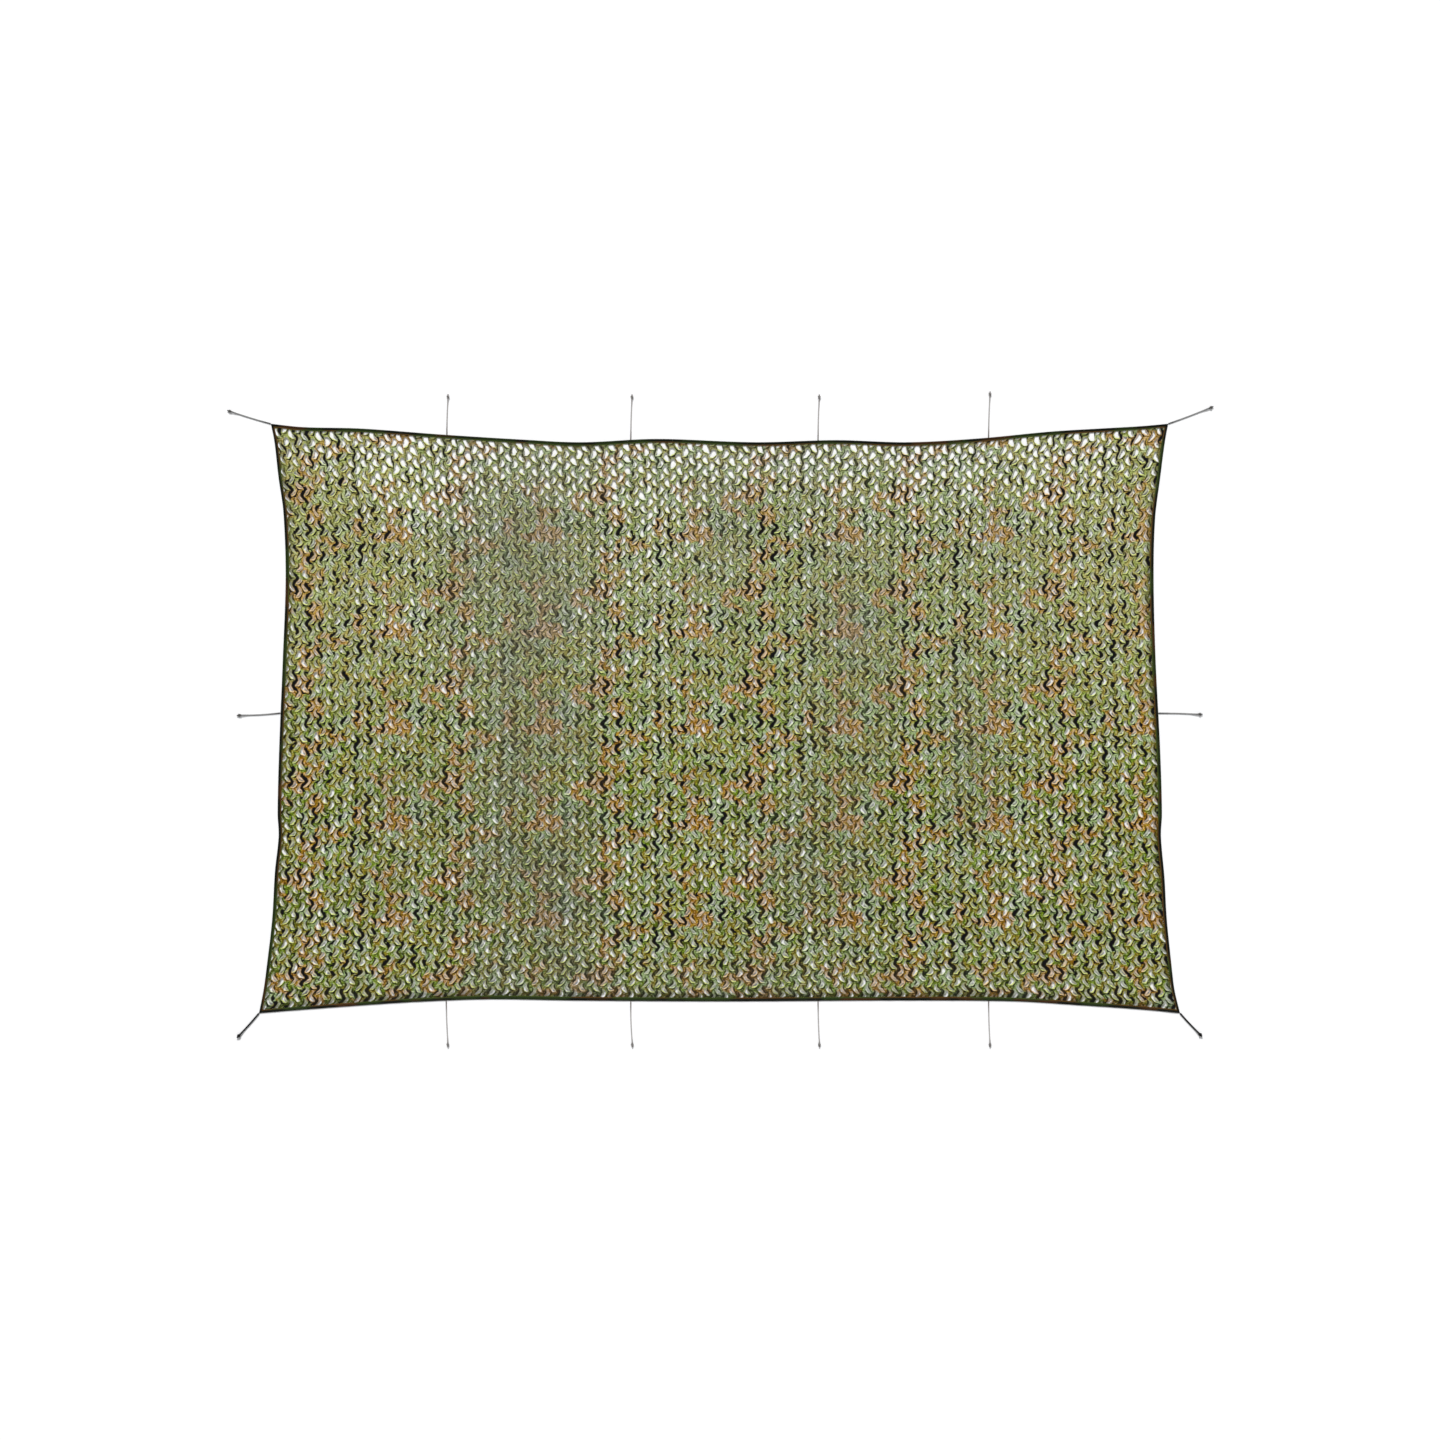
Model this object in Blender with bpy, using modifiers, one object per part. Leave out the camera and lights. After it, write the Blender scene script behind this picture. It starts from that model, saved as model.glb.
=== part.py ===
"""Camouflage net: one leaf-cut cloth panel lying on a surface, bound along its four
edges, with fourteen tie cords sewn into the binding.

Metres, +Z up.  X runs along the long side and Y along the short side.  The origin is
on the surface, under the middle of the panel's box.
"""
import math
from collections import namedtuple

import bmesh
import bpy
from mathutils import Vector

# ---- driving dimensions ---------------------------------------------------------
TOP_HALF_LENGTH = 1.507       # middle to a top corner
BOTTOM_HALF_LENGTH = 1.547    # middle to a bottom corner
HALF_WIDTH = 0.990            # middle to the long edges' corners
CLOTH_THICKNESS = 0.0025      # the cut cloth with its curled leaves pressed down
BINDING_WIDTH = 0.0125        # folded strip that closes each edge
BINDING_CROWN = 0.0052        # over the rope inside it
BINDING_RIM = 0.0024          # at its two long sides
TIE_DIAMETER = 0.0042
HEAVY_TIE_DIAMETER = 0.0060   # the two ties at the bottom corners
KNOT_DIAMETER = 0.0100
HEAVY_KNOT_DIAMETER = 0.0125
KNOT_LENGTH = 0.0135
GAP = 0.0004                  # between faces that touch

# ---- resolution -----------------------------------------------------------------
PANEL_COLUMNS = 52
PANEL_ROWS = 34
BINDING_STRIPS = 4
TIE_POINTS = 15
KNOT_SEGMENTS = 10
KNOT_RINGS = 7

# ---- edges: how far each edge bows in from the straight line between its corners --
Bow = namedtuple("Bow", "along inset")
TOP_EDGE = (
    Bow(0.00, 0.000), Bow(0.035, 0.011), Bow(0.10, 0.016), Bow(0.19, 0.036),
    Bow(0.28, 0.053), Bow(0.345, 0.062), Bow(0.43, 0.051), Bow(0.54, 0.062),
    Bow(0.63, 0.055), Bow(0.71, 0.062), Bow(0.79, 0.049), Bow(0.87, 0.026),
    Bow(0.93, 0.015), Bow(0.97, 0.008), Bow(1.00, 0.000),
)
BOTTOM_EDGE = (
    Bow(0.00, 0.000), Bow(0.04, 0.010), Bow(0.11, 0.026), Bow(0.17, 0.038),
    Bow(0.25, 0.047), Bow(0.34, 0.043), Bow(0.50, 0.040), Bow(0.70, 0.043),
    Bow(0.82, 0.040), Bow(0.89, 0.027), Bow(0.96, 0.012), Bow(1.00, 0.000),
)
LEFT_EDGE = (
    Bow(0.00, 0.000), Bow(0.03, 0.013), Bow(0.09, 0.029), Bow(0.15, 0.048),
    Bow(0.26, 0.060), Bow(0.40, 0.056), Bow(0.55, 0.050), Bow(0.66, 0.049),
    Bow(0.70, 0.054), Bow(0.76, 0.044), Bow(0.84, 0.038), Bow(0.92, 0.023),
    Bow(0.96, 0.014), Bow(1.00, 0.000),
)
RIGHT_EDGE = (
    Bow(0.00, 0.000), Bow(0.03, 0.012), Bow(0.09, 0.030), Bow(0.16, 0.050),
    Bow(0.26, 0.059), Bow(0.40, 0.058), Bow(0.55, 0.049), Bow(0.66, 0.047),
    Bow(0.70, 0.052), Bow(0.77, 0.043), Bow(0.84, 0.038), Bow(0.92, 0.025),
    Bow(0.96, 0.017), Bow(1.00, 0.000),
)

# ---- swells: where the cloth stands off the surface, an oval crown each ----------
Swell = namedtuple("Swell", "x y half_x half_y height")
SWELLS = (
    Swell(-0.66, 0.65, 0.17, 0.26, 0.0080),
    Swell(-0.62, 0.14, 0.16, 0.30, 0.0090),
    Swell(-0.65, -0.52, 0.18, 0.36, 0.0080),
    Swell(-1.24, 0.56, 0.17, 0.17, 0.0065),
    Swell(-1.17, -0.52, 0.18, 0.22, 0.0065),
    Swell(0.09, 0.70, 0.24, 0.17, 0.0065),
    Swell(-0.08, -0.17, 0.19, 0.15, 0.0060),
    Swell(-0.02, -0.66, 0.22, 0.17, 0.0070),
    Swell(0.52, 0.30, 0.15, 0.25, 0.0055),
    Swell(0.48, -0.60, 0.20, 0.16, 0.0060),
    Swell(0.95, 0.62, 0.18, 0.24, 0.0075),
    Swell(0.88, -0.20, 0.17, 0.34, 0.0065),
    Swell(1.28, -0.62, 0.14, 0.20, 0.0055),
)

# ---- ties: where each leaves the binding and where its knot lies ------------------
Tie = namedtuple("Tie", "name root_x root_y tip_x tip_y bow heavy")
TIES = (
    Tie("corner_top_left", -1.5077, 0.9902, -1.6440, 1.0320, 0.001, False),
    Tie("corner_top_right", 1.5077, 0.9903, 1.6500, 1.0445, -0.001, False),
    Tie("corner_bottom_left", -1.5475, -0.9905, -1.6140, -1.0650, 0.001, True),
    Tie("corner_bottom_right", 1.5475, -0.9905, 1.6140, -1.0610, -0.001, True),
    Tie("top_1", -0.9160, 0.9535, -0.9120, 1.0800, 0.001, False),
    Tie("top_2", -0.2980, 0.9368, -0.2940, 1.0790, 0.001, False),
    Tie("top_3", 0.3310, 0.9347, 0.3350, 1.0790, 0.001, False),
    Tie("top_4", 0.9040, 0.9441, 0.9085, 1.0890, 0.001, False),
    Tie("bottom_1", -0.9180, -0.9479, -0.9125, -1.0940, -0.001, False),
    Tie("bottom_2", -0.2980, -0.9494, -0.2930, -1.0940, -0.002, False),
    Tie("bottom_3", 0.3310, -0.9490, 0.3355, -1.0940, -0.001, False),
    Tie("bottom_4", 0.9040, -0.9489, 0.9085, -1.0940, -0.001, False),
    Tie("left", -1.4752, 0.0185, -1.6120, 0.0110, 0.002, False),
    Tie("right", 1.4748, 0.0180, 1.6130, 0.0145, 0.001, False),
)

CORNERS = {
    "top_left": Vector((-TOP_HALF_LENGTH, HALF_WIDTH)),
    "top_right": Vector((TOP_HALF_LENGTH, HALF_WIDTH)),
    "bottom_left": Vector((-BOTTOM_HALF_LENGTH, -HALF_WIDTH)),
    "bottom_right": Vector((BOTTOM_HALF_LENGTH, -HALF_WIDTH)),
}
Side = namedtuple("Side", "start end inward bows segments")
SIDES = {
    "top": Side("top_left", "top_right", Vector((0, -1)), TOP_EDGE, PANEL_COLUMNS),
    "bottom": Side("bottom_left", "bottom_right", Vector((0, 1)), BOTTOM_EDGE, PANEL_COLUMNS),
    "left": Side("top_left", "bottom_left", Vector((1, 0)), LEFT_EDGE, PANEL_ROWS),
    "right": Side("top_right", "bottom_right", Vector((-1, 0)), RIGHT_EDGE, PANEL_ROWS),
}


# ---- outline --------------------------------------------------------------------
def bow_at(bows, along):
    """Inset at a place along an edge, on a smooth curve through the edge's rows."""
    upper = next(i for i in range(1, len(bows)) if along <= bows[i].along or i == len(bows) - 1)
    lower = upper - 1
    before = bows[max(lower - 1, 0)]
    after = bows[min(upper + 1, len(bows) - 1)]
    a, b = bows[lower], bows[upper]
    span = b.along - a.along
    t = (along - a.along) / span
    slope_a = (b.inset - before.inset) / (b.along - before.along) * span
    slope_b = (after.inset - a.inset) / (after.along - a.along) * span
    return (
        a.inset * (2 * t**3 - 3 * t**2 + 1)
        + slope_a * (t**3 - 2 * t**2 + t)
        + b.inset * (3 * t**2 - 2 * t**3)
        + slope_b * (t**3 - t**2)
    )


def corner(name, depth):
    """A corner of the outline, moved in by depth along both axes."""
    outer = CORNERS[name]
    return outer - Vector((math.copysign(depth, outer.x), math.copysign(depth, outer.y)))


def edge_point(side, along, depth):
    """A point of one edge, from 0 at its start corner to 1, depth in from the outline."""
    start = corner(side.start, depth)
    end = corner(side.end, depth)
    return start.lerp(end, along) + side.inward * bow_at(side.bows, along)


def panel_point(u, v, depth):
    """A point inside the four edges: u from left to right, v from bottom to top."""
    top = edge_point(SIDES["top"], u, depth)
    bottom = edge_point(SIDES["bottom"], u, depth)
    left = edge_point(SIDES["left"], 1 - v, depth)
    right = edge_point(SIDES["right"], 1 - v, depth)
    across = bottom.lerp(top, v)
    along = left.lerp(right, u)
    low = corner("bottom_left", depth).lerp(corner("bottom_right", depth), u)
    high = corner("top_left", depth).lerp(corner("top_right", depth), u)
    return across + along - low.lerp(high, v)


def swell_height(x, y):
    """How far the cloth stands off the surface."""
    height = 0.0
    for swell in SWELLS:
        away = ((x - swell.x) / swell.half_x) ** 2 + ((y - swell.y) / swell.half_y) ** 2
        if away < 1:
            height += swell.height * (1 - away) ** 2
    return height


# ---- Blender objects --------------------------------------------------------------
def clear_scene():
    for old in list(bpy.data.objects):
        bpy.data.objects.remove(old, do_unlink=True)


def new_collection(name):
    collection = bpy.data.collections.new(name)
    bpy.context.scene.collection.children.link(collection)
    return collection


def new_material(name, color, roughness):
    material = bpy.data.materials.new(name)
    material.use_nodes = True
    shader = material.node_tree.nodes["Principled BSDF"]
    shader.inputs["Base Color"].default_value = (*color, 1.0)
    shader.inputs["Roughness"].default_value = roughness
    shader.inputs["Metallic"].default_value = 0.0
    return material


def add_object(name, data, material, collection):
    data.materials.append(material)
    piece = bpy.data.objects.new(name, data)
    collection.objects.link(piece)
    return piece


def grid_mesh(name, columns, rows, place):
    """An open sheet: a unit grid with each point moved to place(u, v)."""
    mesh = bpy.data.meshes.new(name)
    bm = bmesh.new()
    bmesh.ops.create_grid(bm, x_segments=columns, y_segments=rows, size=0.5)
    for vert in bm.verts:
        vert.co = place(vert.co.x + 0.5, vert.co.y + 0.5)
    bm.to_mesh(mesh)
    bm.free()
    return mesh


def make_panel(material, collection):
    """The cut cloth: an open sheet on its swells, thickened downwards."""
    depth = BINDING_WIDTH + GAP

    def place(u, v):
        point = panel_point(u, v, depth)
        return Vector((point.x, point.y, CLOTH_THICKNESS + swell_height(point.x, point.y)))

    mesh = grid_mesh("net", PANEL_COLUMNS, PANEL_ROWS, place)
    panel = add_object("net", mesh, material, collection)
    solidify = panel.modifiers.new("thickness", "SOLIDIFY")
    solidify.thickness = CLOTH_THICKNESS
    solidify.offset = -1
    mesh.shade_smooth()


def binding_height(across):
    """The binding's section: a low rim at both sides and a crown over the rope."""
    return BINDING_RIM + (BINDING_CROWN - BINDING_RIM) * math.sin(math.pi * across)


def make_binding(name, side, material, collection):
    """One mitred strip from corner to corner, flat underneath."""
    start = CORNERS[side.start]
    length = (CORNERS[side.end] - start).length
    trim = GAP / length

    def place(u, v):
        along = trim + (1 - 2 * trim) * u
        point = edge_point(side, along, 0).lerp(edge_point(side, along, BINDING_WIDTH), v)
        return Vector((point.x, point.y, binding_height(v)))

    mesh = grid_mesh(name, side.segments, BINDING_STRIPS, place)
    bm = bmesh.new()
    bm.from_mesh(mesh)
    under = bmesh.ops.extrude_face_region(bm, geom=bm.faces[:], use_keep_orig=True)
    for item in under["geom"]:
        if isinstance(item, bmesh.types.BMVert):
            item.co.z = 0.0
    bmesh.ops.recalc_face_normals(bm, faces=bm.faces[:])
    bm.to_mesh(mesh)
    bm.free()
    add_object(name, mesh, material, collection)


def tie_route(tie):
    """Points from the binding to the knot: level on the surface, then up into the knot."""
    radius = tie_diameter(tie) / 2
    knot_centre = knot_diameter(tie) / 2
    root = Vector((tie.root_x, tie.root_y))
    tip = Vector((tie.tip_x, tie.tip_y))
    run = tip - root
    reach = run.length - KNOT_LENGTH / 2 - GAP
    forward = run.normalized()
    sideways = Vector((-forward.y, forward.x))
    points = []
    for i in range(TIE_POINTS):
        t = i / (TIE_POINTS - 1)
        flat = root + forward * (reach * t) + sideways * (tie.bow * math.sin(math.pi * t))
        rise = max(0.0, (t - 0.8) / 0.2)
        lift = (knot_centre - radius) * rise * rise * (3 - 2 * rise)
        points.append(Vector((flat.x, flat.y, radius + lift)))
    return points


def tie_diameter(tie):
    return HEAVY_TIE_DIAMETER if tie.heavy else TIE_DIAMETER


def knot_diameter(tie):
    return HEAVY_KNOT_DIAMETER if tie.heavy else KNOT_DIAMETER


def make_tie(tie, material, collection):
    """A cord with filled ends along its route."""
    curve = bpy.data.curves.new("tie_" + tie.name, "CURVE")
    curve.dimensions = "3D"
    curve.bevel_depth = tie_diameter(tie) / 2
    curve.bevel_resolution = 2
    curve.use_fill_caps = True
    route = tie_route(tie)
    spline = curve.splines.new("POLY")
    spline.points.add(len(route) - 1)
    for point, place in zip(spline.points, route):
        point.co = (*place, 1.0)
    add_object("tie_" + tie.name, curve, material, collection)


def make_knot(tie, material, collection):
    """The stopper knot: a turned egg whose long axis follows the cord."""
    mesh = bpy.data.meshes.new("knot_" + tie.name)
    bm = bmesh.new()
    bmesh.ops.create_uvsphere(bm, u_segments=KNOT_SEGMENTS, v_segments=KNOT_RINGS, radius=0.5)
    width = knot_diameter(tie)
    bmesh.ops.scale(bm, vec=(width, width, KNOT_LENGTH), verts=bm.verts)
    bm.to_mesh(mesh)
    bm.free()
    mesh.shade_smooth()
    knot = add_object("knot_" + tie.name, mesh, material, collection)
    forward = Vector((tie.tip_x - tie.root_x, tie.tip_y - tie.root_y, 0.0))
    knot.rotation_mode = "QUATERNION"
    knot.rotation_quaternion = forward.to_track_quat("Z", "Y")
    knot.location = (tie.tip_x, tie.tip_y, width / 2)


def main():
    clear_scene()
    collection = new_collection("camouflage_net")
    cloth = new_material("leaf_cut_cloth", (0.24, 0.29, 0.10), 0.85)
    tape = new_material("binding_tape", (0.035, 0.045, 0.020), 0.80)
    cord = new_material("tie_cord", (0.16, 0.16, 0.15), 0.75)
    black_cord = new_material("black_tie_cord", (0.015, 0.015, 0.013), 0.75)
    make_panel(cloth, collection)
    for name, side in SIDES.items():
        make_binding("binding_" + name, side, tape, collection)
    for tie in TIES:
        material = black_cord if tie.heavy else cord
        make_tie(tie, material, collection)
        make_knot(tie, material, collection)


main()
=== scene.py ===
"""Camouflage net, dressed: slit-cut cloth stretched open, an edge binding folded over a
rope and stitched, and fourteen knotted tie cords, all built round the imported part.

Metres, in the part's own frame: +X along the long side, +Y along the short side, +Z up,
the origin on the surface under the middle of the panel.
"""
import math
from collections import namedtuple

import bpy
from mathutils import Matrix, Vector, noise


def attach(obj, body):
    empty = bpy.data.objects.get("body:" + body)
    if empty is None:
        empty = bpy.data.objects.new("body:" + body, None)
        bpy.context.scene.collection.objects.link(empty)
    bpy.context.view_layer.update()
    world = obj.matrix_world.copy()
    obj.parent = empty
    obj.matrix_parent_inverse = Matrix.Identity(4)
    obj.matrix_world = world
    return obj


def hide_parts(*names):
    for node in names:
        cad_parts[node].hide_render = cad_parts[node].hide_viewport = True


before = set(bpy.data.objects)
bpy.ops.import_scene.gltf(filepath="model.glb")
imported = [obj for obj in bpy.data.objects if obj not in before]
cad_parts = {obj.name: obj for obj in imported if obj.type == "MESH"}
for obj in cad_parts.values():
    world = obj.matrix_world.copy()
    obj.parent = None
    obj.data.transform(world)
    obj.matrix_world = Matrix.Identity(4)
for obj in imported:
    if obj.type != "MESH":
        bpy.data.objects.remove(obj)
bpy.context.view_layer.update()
BODY = "root"

# ---- sizes shared with the part ----
TOP_HALF_LENGTH = 1.507       # middle to a top corner
BOTTOM_HALF_LENGTH = 1.547    # middle to a bottom corner
HALF_WIDTH = 0.990            # middle to the long edges' corners
BINDING_WIDTH = 0.0125        # folded strip that closes each edge
TIE_DIAMETER = 0.0042
HEAVY_TIE_DIAMETER = 0.0060   # the two ties at the bottom corners
KNOT_DIAMETER = 0.0100
HEAVY_KNOT_DIAMETER = 0.0125
KNOT_LENGTH = 0.0135
GAP = 0.0004                  # between a tie's end and its knot
TIE_POINTS = 15               # along a tie's route

# ---- edges: how far each edge bows in from the straight line between its corners ----
Bow = namedtuple("Bow", "along inset")
TOP_EDGE = (
    Bow(0.00, 0.000), Bow(0.035, 0.011), Bow(0.10, 0.016), Bow(0.19, 0.036),
    Bow(0.28, 0.053), Bow(0.345, 0.062), Bow(0.43, 0.051), Bow(0.54, 0.062),
    Bow(0.63, 0.055), Bow(0.71, 0.062), Bow(0.79, 0.049), Bow(0.87, 0.026),
    Bow(0.93, 0.015), Bow(0.97, 0.008), Bow(1.00, 0.000),
)
BOTTOM_EDGE = (
    Bow(0.00, 0.000), Bow(0.04, 0.010), Bow(0.11, 0.026), Bow(0.17, 0.038),
    Bow(0.25, 0.047), Bow(0.34, 0.043), Bow(0.50, 0.040), Bow(0.70, 0.043),
    Bow(0.82, 0.040), Bow(0.89, 0.027), Bow(0.96, 0.012), Bow(1.00, 0.000),
)
LEFT_EDGE = (
    Bow(0.00, 0.000), Bow(0.03, 0.013), Bow(0.09, 0.029), Bow(0.15, 0.048),
    Bow(0.26, 0.060), Bow(0.40, 0.056), Bow(0.55, 0.050), Bow(0.66, 0.049),
    Bow(0.70, 0.054), Bow(0.76, 0.044), Bow(0.84, 0.038), Bow(0.92, 0.023),
    Bow(0.96, 0.014), Bow(1.00, 0.000),
)
RIGHT_EDGE = (
    Bow(0.00, 0.000), Bow(0.03, 0.012), Bow(0.09, 0.030), Bow(0.16, 0.050),
    Bow(0.26, 0.059), Bow(0.40, 0.058), Bow(0.55, 0.049), Bow(0.66, 0.047),
    Bow(0.70, 0.052), Bow(0.77, 0.043), Bow(0.84, 0.038), Bow(0.92, 0.025),
    Bow(0.96, 0.017), Bow(1.00, 0.000),
)

# ---- swells: where the cloth stands off the surface, an oval crown each ----
Oval = namedtuple("Oval", "x y half_x half_y amount")
SWELLS = (
    Oval(-0.66, 0.65, 0.17, 0.26, 0.0080),
    Oval(-0.62, 0.14, 0.16, 0.30, 0.0090),
    Oval(-0.65, -0.52, 0.18, 0.36, 0.0080),
    Oval(-1.24, 0.56, 0.17, 0.17, 0.0065),
    Oval(-1.17, -0.52, 0.18, 0.22, 0.0065),
    Oval(0.09, 0.70, 0.24, 0.17, 0.0065),
    Oval(-0.08, -0.17, 0.19, 0.15, 0.0060),
    Oval(-0.02, -0.66, 0.22, 0.17, 0.0070),
    Oval(0.52, 0.30, 0.15, 0.25, 0.0055),
    Oval(0.48, -0.60, 0.20, 0.16, 0.0060),
    Oval(0.95, 0.62, 0.18, 0.24, 0.0075),
    Oval(0.88, -0.20, 0.17, 0.34, 0.0065),
    Oval(1.28, -0.62, 0.14, 0.20, 0.0055),
)

# ---- ties: where each leaves the binding and where its knot lies ----
Tie = namedtuple("Tie", "name root_x root_y tip_x tip_y bow heavy")
TIES = (
    Tie("corner_top_left", -1.5077, 0.9902, -1.6440, 1.0320, 0.001, False),
    Tie("corner_top_right", 1.5077, 0.9903, 1.6500, 1.0445, -0.001, False),
    Tie("corner_bottom_left", -1.5475, -0.9905, -1.6140, -1.0650, 0.001, True),
    Tie("corner_bottom_right", 1.5475, -0.9905, 1.6140, -1.0610, -0.001, True),
    Tie("top_1", -0.9160, 0.9535, -0.9120, 1.0800, 0.001, False),
    Tie("top_2", -0.2980, 0.9368, -0.2940, 1.0790, 0.001, False),
    Tie("top_3", 0.3310, 0.9347, 0.3350, 1.0790, 0.001, False),
    Tie("top_4", 0.9040, 0.9441, 0.9085, 1.0890, 0.001, False),
    Tie("bottom_1", -0.9180, -0.9479, -0.9125, -1.0940, -0.001, False),
    Tie("bottom_2", -0.2980, -0.9494, -0.2930, -1.0940, -0.002, False),
    Tie("bottom_3", 0.3310, -0.9490, 0.3355, -1.0940, -0.001, False),
    Tie("bottom_4", 0.9040, -0.9489, 0.9085, -1.0940, -0.001, False),
    Tie("left", -1.4752, 0.0185, -1.6120, 0.0110, 0.002, False),
    Tie("right", 1.4748, 0.0180, 1.6130, 0.0145, 0.001, False),
)

CORNERS = {
    "top_left": Vector((-TOP_HALF_LENGTH, HALF_WIDTH)),
    "top_right": Vector((TOP_HALF_LENGTH, HALF_WIDTH)),
    "bottom_left": Vector((-BOTTOM_HALF_LENGTH, -HALF_WIDTH)),
    "bottom_right": Vector((BOTTOM_HALF_LENGTH, -HALF_WIDTH)),
}
Side = namedtuple("Side", "start end inward bows")
SIDES = {
    "top": Side("top_left", "top_right", Vector((0, -1)), TOP_EDGE),
    "bottom": Side("bottom_left", "bottom_right", Vector((0, 1)), BOTTOM_EDGE),
    "left": Side("top_left", "bottom_left", Vector((1, 0)), LEFT_EDGE),
    "right": Side("top_right", "bottom_right", Vector((-1, 0)), RIGHT_EDGE),
}

# ---- the cloth's slits ----
CLOTH_LENGTH = 3.030          # the panel pulled flat, between the long strips of binding
CLOTH_WIDTH = 1.930
PITCH_X = 0.0453              # one slit to the next in a row
PITCH_Y = 0.0413              # a row of right-nosed slits and a row of left-nosed ones
LEAN_SHIFT = 0.43 * PITCH_X   # the left-nosed rows sit this far along
LATTICE_ROWS = 49
SECTION_COLUMNS = 14          # the cloth is meshed in sections of this many columns
SECTIONS = 5
CLOTH_REST = 0.0072           # the cloth's height over the surface between swells
HELD_DEPTH = 0.0100           # how far in from the outline the binding grips the cloth
HELD_HEIGHT = 0.0026          # and how high over the surface
SWELL_SHARE = 0.55            # of each swell's height, since the slits let it sink
CLOTH_FLOOR = 0.0005          # the lowest that a leaf droops
RINGS = (0.0, 0.32, 0.58, 1.0)   # from the middle of a strand to the slit's rim
INNER_RISE = 0.45             # of the crest, at the first ring out from that middle
GUIDE_COLUMNS = 120           # of the surface that the cloth is laid on
GUIDE_ROWS = 80

# Each slit is cut round a leaf that stays joined on one side and droops, so the slit
# opens as a bent arrow head. Rows run clockwise from the leaf's upper root, for a slit
# whose nose points right: the rim when shut and when pulled open, then how high the
# strand stands behind the rim and at it, all in millimetres, how much painted shade its
# folds get, how much painted light its rim gets, and how far it belongs to the leaf.
Rim = namedtuple("Rim", "shut_x shut_y open_x open_y crest lip grime wear leaf")
LEAF_SLIT = (
    Rim(3.0, 9.2, -4.0, 11.0, 0.2, -0.4, 0.50, 0.40, 0.8),
    Rim(0.6, 12.4, -0.6, 15.4, 0.8, 0.8, 0.10, 0.50, 0.2),
    Rim(3.4, 10.8, 4.4, 13.2, 1.4, 1.2, 0.10, 0.45, 0.0),
    Rim(5.6, 8.4, 7.0, 10.0, 1.6, 1.2, 0.10, 0.40, 0.0),
    Rim(7.2, 5.8, 8.8, 6.8, 1.6, 1.2, 0.10, 0.40, 0.0),
    Rim(8.6, 3.2, 10.0, 3.6, 1.6, 1.2, 0.15, 0.50, 0.0),
    Rim(9.2, 0.4, 10.6, 0.6, 2.4, 1.0, 0.40, 0.60, 0.0),
    Rim(8.2, -2.8, 9.4, -2.8, 3.2, 0.8, 0.70, 0.70, 0.0),
    Rim(5.6, -6.2, 6.6, -6.8, 3.6, 0.8, 0.90, 0.80, 0.0),
    Rim(2.2, -9.4, 2.8, -10.4, 3.6, 0.8, 1.00, 0.90, 0.0),
    Rim(-1.8, -12.2, -1.8, -13.4, 3.4, 0.8, 0.90, 1.00, 0.0),
    Rim(-6.0, -14.2, -6.8, -15.6, 2.6, 0.8, 0.50, 1.00, 0.0),
    Rim(-10.4, -14.6, -11.4, -15.6, 1.4, 0.6, 0.10, 1.00, 0.2),
    Rim(-8.8, -11.8, -12.0, -12.4, 0.2, -0.2, 0.50, 0.80, 0.8),
    Rim(-3.8, -8.4, -9.8, -8.2, -0.2, -1.0, 0.80, 0.80, 1.0),
    Rim(0.8, -4.6, -7.4, -3.4, -0.6, -1.8, 0.95, 0.80, 1.0),
    Rim(5.0, 0.2, -5.6, 1.4, -0.6, -1.8, 1.00, 0.80, 1.0),
    Rim(5.6, 5.0, -4.8, 6.2, -0.2, -1.2, 0.85, 0.60, 1.0),
)

# Where strands meet, from the middle of a right-nosed slit, and how high they stand.
Meeting = namedtuple("Meeting", "x y height")
RIGHT_OF_NOSE = Meeting(0.0150, 0.0000, 0.0010)
FAR_RIGHT = Meeting(0.0324, 0.0005, 0.0004)
ABOVE_RIGHT = Meeting(0.0045, PITCH_Y / 2, 0.0010)
ABOVE_LEFT = Meeting(-0.0129, PITCH_Y / 2 + 0.0005, 0.0004)
PAST_TIP = Meeting(-0.0160, -0.0145, 0.0004)   # a bend round the slit's lower tip
PAST_LEAF = Meeting(LEAN_SHIFT - PITCH_X - PAST_TIP.x, PITCH_Y / 2 + PAST_TIP.y, 0.0004)
SIDE_SEGMENTS = (2, 4, 4, 2, 1, 2, 1, 2)   # along the strands, from the upper left
STRAND_DIP = 0.0005           # a strand sags between two meetings
TOP_PULL = 0.022              # how far the cloth is drawn up under the top edge
TOP_PULL_REACH = 0.22
JOSTLE = 0.0020               # how far a slit's rim sits off its even place
STRAY_SCALE = 95.0            # noise for each rim
RAGGED_SCALE = 140.0          # and along it
STRAY_GAIN = 5.0              # since noise seldom strays over 0.2 from its middle
LEAF_CURL = 0.0040            # how far some leaves curl up
WANDER = 0.0085               # how far the rows stray
Drift = namedtuple("Drift", "scale along across")   # the noise, and its shares of that
DRIFTS = (Drift(1.7, 5.0, 4.0), Drift(5.5, 2.4, 2.4), Drift(15.0, 2.1, 2.1))
CLOTH_SEED = 3.7
WELD = 0.0002                 # neighbouring slits' points nearer than this are joined
# Over these distances in from the border, slits come open, the cloth comes free of the
# binding, and the painted shade along the border ends.
OPEN_OVER = (0.002, 0.028)
FREE_OVER = (0.004, 0.030)
BORDER_SHADE_OVER = (0.004, 0.026)

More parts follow.
